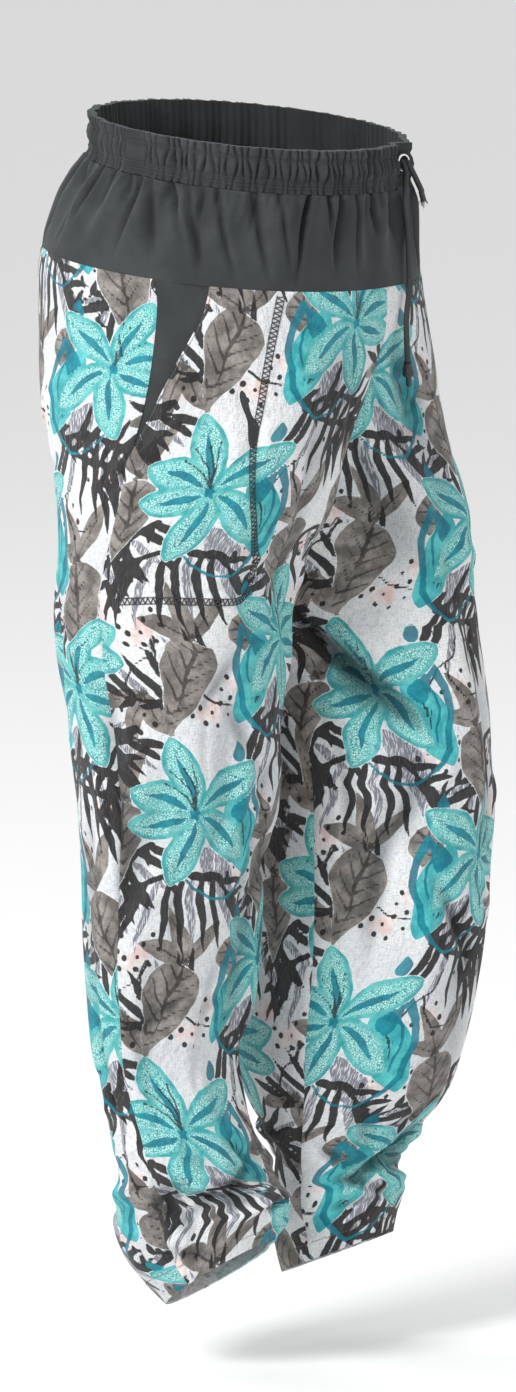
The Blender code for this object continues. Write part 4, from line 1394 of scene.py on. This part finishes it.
def printed_panel(name, node, side, word, start, end, z, columns, lift):
    """One leg panel: its wall, its flat measure and its inks."""
    psi = between(start, end, columns)
    levels = np.repeat(z[:, None], columns, axis=1)
    extra = lift(psi, levels) + seam_dip(psi, (start, end))
    outer = surface(side, psi, levels, extra, FINE)
    low_psi, low_z = psi[::COARSE, ::COARSE], levels[::COARSE, ::COARSE]

    def plain(p, h):
        """The panel without its small creases, which would fold the inner face."""
        return surface(side, p, h, lift(p, h))

    inner = outer[::COARSE, ::COARSE] - WALL * normals(side, plain, low_psi, low_z)
    mesh = cloth_wall(name, outer, inner)
    middle = int(columns * MIDDLE_SHARE)
    across, drop = flat_measure(outer, middle)
    shift = PRINT_SHIFT[(word, side)]
    flat = both_layers(np.stack([-side * across, drop], -1))
    add_uv(mesh, flat)
    fields = print_fields(flat + np.array(shift))
    for attribute, names in ATTRIBUTES.items():
        add_attribute(mesh, attribute, np.stack([fields[n] for n in names], -1))
    inside = np.concatenate([np.zeros(psi.size), np.ones(low_psi.size)])
    add_attribute(mesh, "inner", inside)
    # Painted shade: the panel's colour goes darker in the bottom of its folds and creases.
    relief = (folds(side, psi, levels, outer[..., 0], LARGE)
              + FINE * folds(side, psi, levels, outer[..., 0], SMALL, CREASE_CLEAR))
    painted_shade = np.clip(-relief / LEG_SHADE_DEPTH - LEG_SHADE_START, 0, 1)
    add_attribute(mesh, "painted_shade", both_layers(painted_shade))
    piece = link(name, mesh, PRINT, "printed_cotton")
    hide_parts(node)


def no_lift(psi, z):
    """The back panels lie on the plain section."""
    return np.zeros(np.broadcast(psi, z).shape)


FRONT_GRID = (405, 185)
BACK_GRID = (323, 149)
LEG_LEVELS = (YOKE_LOW + SEAM_LAP, MOUTH_LOW, CROTCH + 0.006, CROTCH, CROTCH - 0.012, LIFT_START,
              HEM)
for side, word in ((-1, "right"), (1, "left")):
    z = spaced(LEG_LEVELS, FRONT_GRID[0])
    printed_panel(f"front_panel_{word}", f"front_leg_{word}", side, "front", front_edge(z),
                  clip_angle(z), z, FRONT_GRID[1],
                  lambda p, h, side=side: mouth_lift(side, p, h))
    z = spaced(LEG_LEVELS, BACK_GRID[0])
    printed_panel(f"back_panel_{word}", f"back_leg_{word}", side, "back",
                  2 * math.pi - clip_angle(z), 2 * math.pi + side_seam(z) + lap_angle(z), z,
                  BACK_GRID[1], no_lift)

# %% [markdown]
# Behind each mouth lies the black backing. It is level with the side seam and slips under the
# front panel.

# %% Pocket backings
BAG_GRID = (81, 33)


def wall_piece(name, node, sides, psi, levels, shape, wall=CLOTH, painted_shade=None):
    """Closed wall of black cloth; sides gives the leg that each column belongs to."""
    sides = np.broadcast_to(sides, psi.shape)
    outer = shape(sides, psi, levels)
    low_sides, low_psi, low_z = (grid[::COARSE, ::COARSE] for grid in (sides, psi, levels))

    def plain(p, h):
        """The cloth without its folds, for the way from the outer face to the inner one."""
        return surface(low_sides, p, h)

    away = normals(low_sides, plain, low_psi, low_z)
    mesh = cloth_wall(name, outer, outer[::COARSE, ::COARSE] - wall * away)
    across, drop = flat_measure(outer, psi.shape[1] // 2)
    add_uv(mesh, both_layers(np.stack([across, drop], -1)))
    # Painted shade: where a share is given, the black goes darker in the bottom of each fold.
    if painted_shade is not None:
        add_attribute(mesh, "painted_shade", both_layers(painted_shade))
    piece = link(name, mesh, YOKE_BLACK, "black_cotton")
    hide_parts(node)


def backing_shape(sides, psi, z):
    """Level with the side seam at the mouth, then inset along the normal under the front panel."""
    across = (psi - side_seam(z)) / np.maximum(MOUTH_ANGLE * mouth_share(z), 1e-6)
    down = (YOKE_LOW - z) / (YOKE_LOW - MOUTH_LOW)
    inset = BAG_INSET * np.maximum(ease(across), ease(down))[..., None]
    away = normals(sides, lambda p, h: surface(sides, p, h), psi, z)
    return surface(sides, psi, z) - inset * away


for side, word in ((-1, "right"), (1, "left")):
    z = spaced((YOKE_LOW + SEAM_LAP, BAG_LOW), BAG_GRID[0])
    end = np.interp(z, (BAG_LOW, YOKE_LOW), BAG_ANGLES[::-1])
    psi = between(side_seam(z) - lap_angle(z), end, BAG_GRID[1])
    levels = np.repeat(z[:, None], BAG_GRID[1], axis=1)
    wall_piece(f"pocket_cloth_{word}", f"pocket_backing_{word}", side, psi, levels,
               backing_shape)

# %% [markdown]
# The yoke is cut wider than the waist, so it leaves the band in soft folds. Narrow valleys start
# under the band, slant towards the sides and end at uneven heights, each between two soft ridges.
# Finer puckers sit right under the band and die out in two centimetres.

# %% Yokes
YOKE_GRID = (71, 301)
PUCKERS = 92
PUCKER_DROP = 0.022
PUCKER_DEPTH = 0.0009
PUCKER_START = 0.004
VALLEY_LOW_END = 0.012
YOKE_SEAM_DIP = 0.0004
HIP_RADIUS = 0.150
YOKE_WALL = 0.0025
# Painted shade in the yoke's valleys: the depth for full shade, the share of it before any, and the
# height over the yoke seam in which it fades in.
YOKE_SHADE_DEPTH = 0.0034
YOKE_SHADE_START = 0.1
YOKE_SHADE_END = 0.020
VALLEYS = 52
VALLEY_SEED = 3
RIDGE_SHARE = 0.45
RIDGE_REACH = 3.2
SIDE_SLANT, SIDE_TURN, SIDE_SPREAD = 26.0, 72.0, 34.0


def yoke_rows(count, seed):
    """Seeded narrow valleys that start under the band and run down the yoke."""
    rng = np.random.default_rng(seed)
    rows = []
    for i in range(count):
        turn = (i + rng.uniform(-0.35, 0.35)) * 360 / count
        turn = turn if turn < 180 else turn - 360
        length = rng.uniform(0.018, 0.070)
        slant = SIDE_SLANT * math.exp(-((abs(turn) - SIDE_TURN) / SIDE_SPREAD) ** 2)
        rows.append((1 if turn > 0 else -1, turn, BAND_LOW - 0.35 * length,
                     math.copysign(slant, turn) + rng.uniform(-14, 14), length,
                     rng.uniform(0.0028, 0.0046), -rng.uniform(0.0042, 0.0080)))
    return rows


YOKE_VALLEYS = table(yoke_rows(VALLEYS, VALLEY_SEED), FOLD_COLUMNS)


def yoke_relief(turn, z):
    """Each valley is a Gaussian across its line, less a wider one that makes its two ridges."""
    height = np.zeros(turn.shape)
    for i in range(len(YOKE_VALLEYS["side"])):
        row = {name: YOKE_VALLEYS[name][i] for name in FOLD_COLUMNS}
        lean = math.radians(row["lean"])
        away = (turn - math.radians(row["angle"]) + math.pi) % (2 * math.pi) - math.pi
        round_hip = away * HIP_RADIUS
        up = z - row["height"]
        along = (round_hip * math.sin(lean) + up * math.cos(lean)) / row["length"]
        across = (round_hip * math.cos(lean) - up * math.sin(lean)) / row["width"]
        end = np.clip(1 - along ** 2, 0, 1) ** 1.5
        height = height + row["depth"] * end * (np.exp(-across ** 2)
                                                - RIDGE_SHARE
                                                * np.exp(-(across / RIDGE_REACH) ** 2))
    return height


def yoke_shape(sides, psi, z):
    """The yoke's surface with valleys and puckers under the band and a dip at the yoke seam."""
    turn = sides * (math.pi / 2 - psi)
    drop = BAND_LOW - z
    wave = np.cos(PUCKERS * turn + 2.0 * np.sin(7 * turn)) * np.exp(-(drop / PUCKER_DROP) ** 2)
    seam = np.exp(-((z - YOKE_LOW) / SEAM_REACH) ** 2)
    relief = yoke_relief(turn, z) * ease((z - YOKE_LOW) / VALLEY_LOW_END)
    pucker = PUCKER_DEPTH * wave * ease(drop / PUCKER_START)
    return surface(sides, psi, z, relief + pucker - YOKE_SEAM_DIP * seam)


def yoke_piece(name, node, seam_sign, middle):
    """One yoke from side seam to side seam, over the middle, where the two legs' angles meet."""
    z = spaced((BAND_LOW - SEAM_GAP, YOKE_LOW - SEAM_LAP), YOKE_GRID[0])
    half_columns = YOKE_GRID[1] // 2 + 1
    start = side_seam(z) - seam_sign * lap_angle(z)
    half = between(start, np.full_like(z, middle), half_columns)
    psi = np.concatenate([half, half[:, -2::-1]], axis=1)
    sides = np.where(np.arange(psi.shape[1]) < half_columns, -1.0, 1.0)
    levels = np.repeat(z[:, None], psi.shape[1], axis=1)
    # Painted shade: the yoke goes darker in the bottom of each valley, less so near the yoke seam.
    valley = -yoke_relief(sides * (math.pi / 2 - psi), levels) / YOKE_SHADE_DEPTH
    valley = valley * ease((levels - YOKE_LOW) / YOKE_SHADE_END)
    wall_piece(name, node, sides, psi, levels, yoke_shape, YOKE_WALL,
               np.clip(valley - YOKE_SHADE_START, 0, 1))


yoke_piece("front_yoke_cloth", "front_yoke", 1, math.pi / 2)
yoke_piece("back_yoke_cloth", "back_yoke", -1, -math.pi / 2)

# %% [markdown]
# The waistband is a tube of cotton drawn up on elastic. Each gather is a ridge from top to bottom
# that is pinched where the rows of stitching cross it and puffs out between them. Above the top row
# a narrow frill stands free. Near the side seams and at the eyelet the band is sewn flat.

# %% Waistband
GATHERS = 124
FLAT_REACH = 0.011
BAND_ROWS = 31
BAND_STEPS = 10
BAND_COLUMNS = ("z", "out", "wave")
BAND_PROFILE = (
    (0.0175, 0.0002, 0.0021),
    (0.0120, 0.0003, 0.0018),
    (0.0085, -0.0008, 0.0007),
    (0.0055, 0.0004, 0.0021),
    (0.0000, 0.0010, 0.0030),
    (-0.0050, 0.0005, 0.0021),
    (-0.0078, -0.0008, 0.0007),
    (-0.0104, -0.0002, 0.0012),
    (-0.0130, -0.0009, 0.0007),
    (-0.0175, 0.0001, 0.0016),
)
BAND_INNER = -0.0048
INNER_GATHER = 0.0004
BAND_STRETCH = 1.03
# Painted shade on the band: none above the crest, full at this depth below it after a small start, and
# an even share on the inner face.
BAND_CREST = 0.0012
BAND_SHADE_DEPTH = 0.0034
BAND_SHADE_START = 0.1
BAND_INSIDE_SHADE = 0.35
FRILL = 0.0006
FRILL_LOW = 0.0100
FRILL_HEIGHT = 0.0075
STITCH_ROWS = (0.0085, -0.0078, -0.0130)


def ruffled_share(turn):
    """1 where the band is gathered, 0 where it is sewn flat."""
    share = np.ones_like(turn)
    for place in (EYELET_TURN, math.pi / 2 - side_seam(0.0), side_seam(0.0) - math.pi / 2):
        share = share - np.exp(-((turn - place) * WAIST_RADIUS / FLAT_REACH) ** 4)
    return np.clip(share, 0, 1)


def band_lift(turn, z):
    """Profile of the band plus its gathers: a ridged wave that wanders a little with height."""
    profile = table(BAND_PROFILE[::-1], BAND_COLUMNS)
    out = np.interp(z, profile["z"], profile["out"])
    wave = np.interp(z, profile["z"], profile["wave"])
    phase = (GATHERS * turn + 1.2 * np.sin(31 * turn + 120 * z) + 0.9 * np.sin(53 * turn - 190 * z)
             + 0.5 * np.sin(17 * turn))
    ridge = 2 * np.abs(np.cos(phase / 2)) ** 0.85 - 1
    size = 0.75 + 0.25 * np.sin(23 * turn + 1.0) * np.sin(9 * turn)
    return out + wave * ridge * size * ruffled_share(turn)


def band_point(turn, z, lift):
    """Point of the band at an angle round the waist, 0 in front and positive to the left."""
    side = np.where(turn > 0, 1.0, -1.0)
    return surface(side, math.pi / 2 - np.abs(turn), z, lift)


def waistband():
    """Ring of cloth with a gathered outer face and a smoother inner one."""
    z = np.linspace(BAND_HEIGHT / 2, BAND_LOW, BAND_ROWS)
    count = GATHERS * BAND_STEPS
    turn = (np.arange(count) + 0.5) * 2 * math.pi / count - math.pi
    turns, levels = np.meshgrid(turn, z)
    free = ease((levels - FRILL_LOW) / FRILL_HEIGHT) * ruffled_share(turns)
    frill = FRILL * np.sin(GATHERS / 2 * turns + 2 * np.sin(5 * turns)) * free
    lift = band_lift(turns, levels)
    outer = band_point(turns, np.minimum(levels + frill, BAND_HEIGHT / 2), lift)
    inner_z = np.linspace(BAND_LOW, BAND_HEIGHT / 2, 5)
    inner_lift = BAND_INNER + INNER_GATHER * np.cos(GATHERS * turn) * ruffled_share(turn)
    inner = [band_point(turn, np.full_like(turn, h), inner_lift) for h in inner_z]
    grid = np.concatenate([outer, np.array(inner)])
    rows, columns = grid.shape[:2]
    faces = quads(rows, columns, wrap=True)
    top = np.arange(columns)
    last = top + (rows - 1) * columns
    closing = np.stack([last, top, np.roll(top, -1), np.roll(last, -1)], -1)
    mesh = make_mesh("waistband_cloth", grid.reshape(-1, 3), (np.concatenate([faces, closing]),))
    reach = turn * WAIST_RADIUS * BAND_STRETCH
    flat = np.stack(np.broadcast_arrays(reach[None], np.concatenate([z, inner_z])[:, None]), -1)
    add_uv(mesh, flat.reshape(-1, 2))
    # Painted shade: the band goes darker where its gathers sink below the crest, and its inner face
    # gets an even share of it.
    dip = (BAND_CREST - lift) / BAND_SHADE_DEPTH - BAND_SHADE_START
    inside = np.full((len(inner_z), count), BAND_INSIDE_SHADE)
    add_attribute(mesh, "painted_shade", np.clip(np.concatenate([dip, inside]), 0, 1).ravel())
    piece = link("waistband_cloth", outward(mesh), BAND_BLACK, "black_cotton")
    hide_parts("waistband")


waistband()

# %% [markdown]
# Thread is drawn as short tubes. A lockstitch shows as a row of dashes; the coverstitch that holds
# the pocket's edge shows as two rows with a thread that crosses between them.

# %% Stitching
STITCH_PITCH = 0.0030
BAND_STITCH = 0.0024
BAND_THREAD = 0.00028
BAND_ROW_LIFT = 0.00015
ROW_START = 0.002
THREAD_SIDES = 5
BEND = 0.35


def lockstitches(name, place, total, pitch, long, radius, paint):
    """Dashes along a line: place(s, dip) gives the points at distances s; a dash sinks at its ends."""
    count = int(total / pitch)
    starts = np.arange(count) * pitch
    t = np.linspace(0, 1, 4)
    s = starts[:, None] + long * t[None]
    dip = -BEND * radius * (2 * t - 1) ** 4
    points = place(s.ravel(), np.tile(dip, count))
    tubes(name, points.reshape(count, 4, 3), radius, THREAD_SIDES, paint, "black_cotton")


def band_row(height):
    """Place function for stitches round the band at a height, and the distance round it."""
    girth = 2 * math.pi * WAIST_RADIUS

    def place(s, dip):
        """Points on the band's gathers at distances s from the middle of the back."""
        turn = s / girth * 2 * math.pi - math.pi + ROW_START
        lift = band_lift(turn, np.full_like(turn, height)) + BAND_ROW_LIFT
        return band_point(turn, np.full_like(turn, height), lift + dip)
    return place, girth


for i, height in enumerate(STITCH_ROWS):
    place, girth = band_row(height)
    lockstitches(f"band_stitches_{i + 1}", place, girth - 0.003, STITCH_PITCH, BAND_STITCH,
                 BAND_THREAD, THREAD_BLACK)
print("rows of stitches on the band:", len(STITCH_ROWS))

# %% [markdown]
# The coverstitch that holds the pocket's edge to the front leg: two rows of thread a few
# millimetres apart and a looper thread that crosses between them. It runs down from the yoke seam,
# turns a rounded corner and goes back to the side seam.

# %% Coverstitch of the pocket edge
COVER_HALF = 0.0026
COVER_PITCH = 0.0042
COVER_LIFT = 0.0004
COVER_STITCH = 0.0025
COVER_THREAD = 0.00045
COVER_STEP = 0.0008
BAG_RADIUS = 0.12
COVER_LINES = {
    # angle in degrees and height, from the yoke seam down and back to the side seam
    -1: ((49.5, -0.0975), (48.1, -0.135), (47.3, -0.185), (48.6, -0.229), (54.1, -0.270),
         (61.5, -0.297), (72.0, -0.321), (75.5, -0.338), (74.5, -0.3500), (68.0, -0.3550),
         (48.4, -0.3535), (28.3, -0.3515), (5.5, -0.3530)),
    1: ((49.5, -0.0975), (48.1, -0.135), (47.3, -0.185), (48.6, -0.229), (53.0, -0.270),
        (58.0, -0.297), (63.0, -0.321), (66.0, -0.338), (65.0, -0.3500), (59.0, -0.3550),
        (46.0, -0.3535), (28.3, -0.3515), (5.5, -0.3530)),
}


def cover_path(side):
    """Even places along the coverstitch, as angle and height, from a smooth curve."""
    rows = [np.array([math.radians(a) * BAG_RADIUS, h, 0.0]) for a, h in COVER_LINES[side]]
    places = smooth_curve(rows, COVER_STEP)
    return places[:, 0] / BAG_RADIUS, places[:, 1]


def on_front(side, psi, z, lift):
    """Point of a front panel's outer face, moved out by lift."""
    return surface(side, psi, z, mouth_lift(side, psi, z) + lift, FINE)


def coverstitch(side, word):
    """Two rows of dashes beside the line and one thread that swings from row to row over them."""
    psi, z = cover_path(side)
    points = on_front(side, psi, z, COVER_LIFT)
    run = np.concatenate([[0], np.cumsum(np.linalg.norm(np.diff(points, axis=0), axis=1))])
    across = np.gradient(z), -np.gradient(psi) * BAG_RADIUS
    size = np.hypot(*across)
    aside_psi, aside_z = across[0] / size / BAG_RADIUS, across[1] / size

    def place(s, offset, lift):
        """Points at distances s along the line and offset to its side, lifted off the cloth."""
        p = np.interp(s, run, psi) + offset * np.interp(s, run, aside_psi)
        h = np.interp(s, run, z) + offset * np.interp(s, run, aside_z)
        return on_front(side, p, h, lift)

    total = run[-1]
    for row, offset in enumerate((-COVER_HALF, COVER_HALF)):
        lockstitches(f"cover_row_{word}_{row + 1}",
                     lambda s, dip, offset=offset: place(s, offset, COVER_LIFT + dip),
                     total - 0.002, STITCH_PITCH, COVER_STITCH, COVER_THREAD, THREAD_BLACK)
    count = int(total / COVER_PITCH) * 2
    s = np.arange(count + 1) * COVER_PITCH / 2
    zigzag = np.where(np.arange(count + 1) % 2 == 0, -1.0, 1.0) * COVER_HALF
    t = np.linspace(0, 1, 5)[:-1]
    s_fine = np.concatenate([(s[:-1, None] + t * COVER_PITCH / 2).ravel(), s[-1:]])
    offset = np.interp(s_fine, s, zigzag)
    looper = place(s_fine, offset, COVER_LIFT + 0.0001)
    tubes(f"cover_looper_{word}", [looper], COVER_THREAD, THREAD_SIDES, THREAD_BLACK,
          "black_cotton")
    print("coverstitch", word, round(float(total), 3), "m")


for side, word in ((-1, "right"), (1, "left")):
    coverstitch(side, word)

# %% [markdown]
# Plain lines of stitching close the work: along the pocket mouth, from just under the yoke seam,
# and round each turned hem.

# %% Topstitching and hems
HEM_ROW = 0.014
EDGE_ROW = 0.0020
EDGE_STITCH = 0.8 * STITCH_PITCH
EDGE_THREAD = 0.00026
EDGE_LIFT = 0.00012
NEAR_HEM = HEM + 0.02


def path_place(points, shift):
    """Place function for stitches along a line of points."""
    run = np.concatenate([[0], np.cumsum(np.linalg.norm(np.diff(points, axis=0), axis=1))])

    def place(s, dip):
        """Points at distances s along the line, moved along shift by dip."""
        line = np.stack([np.interp(s, run, points[:, i]) for i in range(3)], -1)
        away = np.stack([np.interp(s, run, shift[:, i]) for i in range(3)], -1)
        return line + away * dip[:, None]
    return place, run[-1]


def stitch_line(name, side, psi, z, shape):
    """Grey stitches on a panel, along a line of angles and heights."""
    points = shape(psi, z)
    away = normals(side, shape, psi, z)
    place, total = path_place(points + EDGE_LIFT * away, away)
    lockstitches(name, place, total - 0.002, STITCH_PITCH, EDGE_STITCH, EDGE_THREAD, THREAD_GREY)
    print(name, round(float(total), 3), "m")


for side, word in ((-1, "right"), (1, "left")):
    z = np.linspace(YOKE_LOW - 0.004, MOUTH_LOW + 0.006, 160)
    psi = front_edge(z) + EDGE_ROW / MOUTH_RADIUS
    stitch_line(f"mouth_stitches_{word}", side, psi, z,
                lambda p, h, side=side: on_front(side, p, h, 0.0))
    inside, outside = clip_angle(NEAR_HEM), side_seam(NEAR_HEM)
    for part_word, start, end in (("front", front_edge(NEAR_HEM), inside),
                                  ("back", 2 * math.pi - inside, 2 * math.pi + outside)):
        psi = np.linspace(float(start) + 0.02, float(end) - 0.02, 300)
        z = np.full_like(psi, HEM + HEM_ROW)
        stitch_line(f"hem_stitches_{part_word}_{word}", side, psi, z,
                    lambda p, h, side=side: surface(side, p, h, 0.0, FINE))

# %% [markdown]
# The picture is bright and even: a big soft light from the left front, a weaker one from the
# right, and a pale surround. The floor is plain.

# %% Floor and lights
FLOOR_Z = -1.0
FLOOR_SIZE = 60.0
FLOOR_WHITE = (0.93, 0.93, 0.93)
LIGHT_AIM = (0, 0, -0.45)
SURROUND = 0.74


def flat_plane(name, size, height, paint):
    """Square of one face at a height."""
    half = size / 2
    points = np.array([(-half, -half, height), (half, -half, height), (half, half, height),
                       (-half, half, height)])
    mesh = make_mesh(name, points, (np.array([[0, 1, 2, 3]]),))
    return link(name, mesh, paint)


floor_paint, _, _, floor_shader = new_paint("floor_paint")
floor_shader.inputs["Base Color"].default_value = (*FLOOR_WHITE, 1.0)
floor_shader.inputs["Roughness"].default_value = 0.9
floor = flat_plane("floor", FLOOR_SIZE, FLOOR_Z, floor_paint)

LIGHTS = (
    # name, place, size, watts
    ("key", (-4.7, 0.7, 2.4), 1.8, 250.0),
    ("fill", (1.8, -5.4, 0.5), 3.0, 45.0),
    ("rim", (0.5, 4.5, 2.4), 3.0, 50.0),
)
for name, place, size, watts in LIGHTS:
    light = bpy.data.lights.new(name, "AREA")
    light.shape = "DISK"
    light.size = size
    light.energy = watts
    lamp = bpy.data.objects.new(name, light)
    lamp.location = place
    aim = Vector(LIGHT_AIM) - Vector(place)
    lamp.rotation_euler = aim.to_track_quat("-Z", "Y").to_euler()
    bpy.context.scene.collection.objects.link(lamp)

world = bpy.data.worlds.new("surround")
world.use_nodes = True
world.node_tree.nodes["Background"].inputs["Color"].default_value = (1.0, 1.0, 1.0, 1.0)
world.node_tree.nodes["Background"].inputs["Strength"].default_value = SURROUND
bpy.context.scene.world = world
bpy.context.scene.view_settings.view_transform = "Standard"
print("lights:", [name for name, *_ in LIGHTS])

# %% Sizes and the end
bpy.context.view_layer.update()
triangles = sum(len(p.vertices) - 2 for o in bpy.context.scene.objects if o.type == "MESH"
                for p in o.data.polygons)
print("triangles in all", triangles)
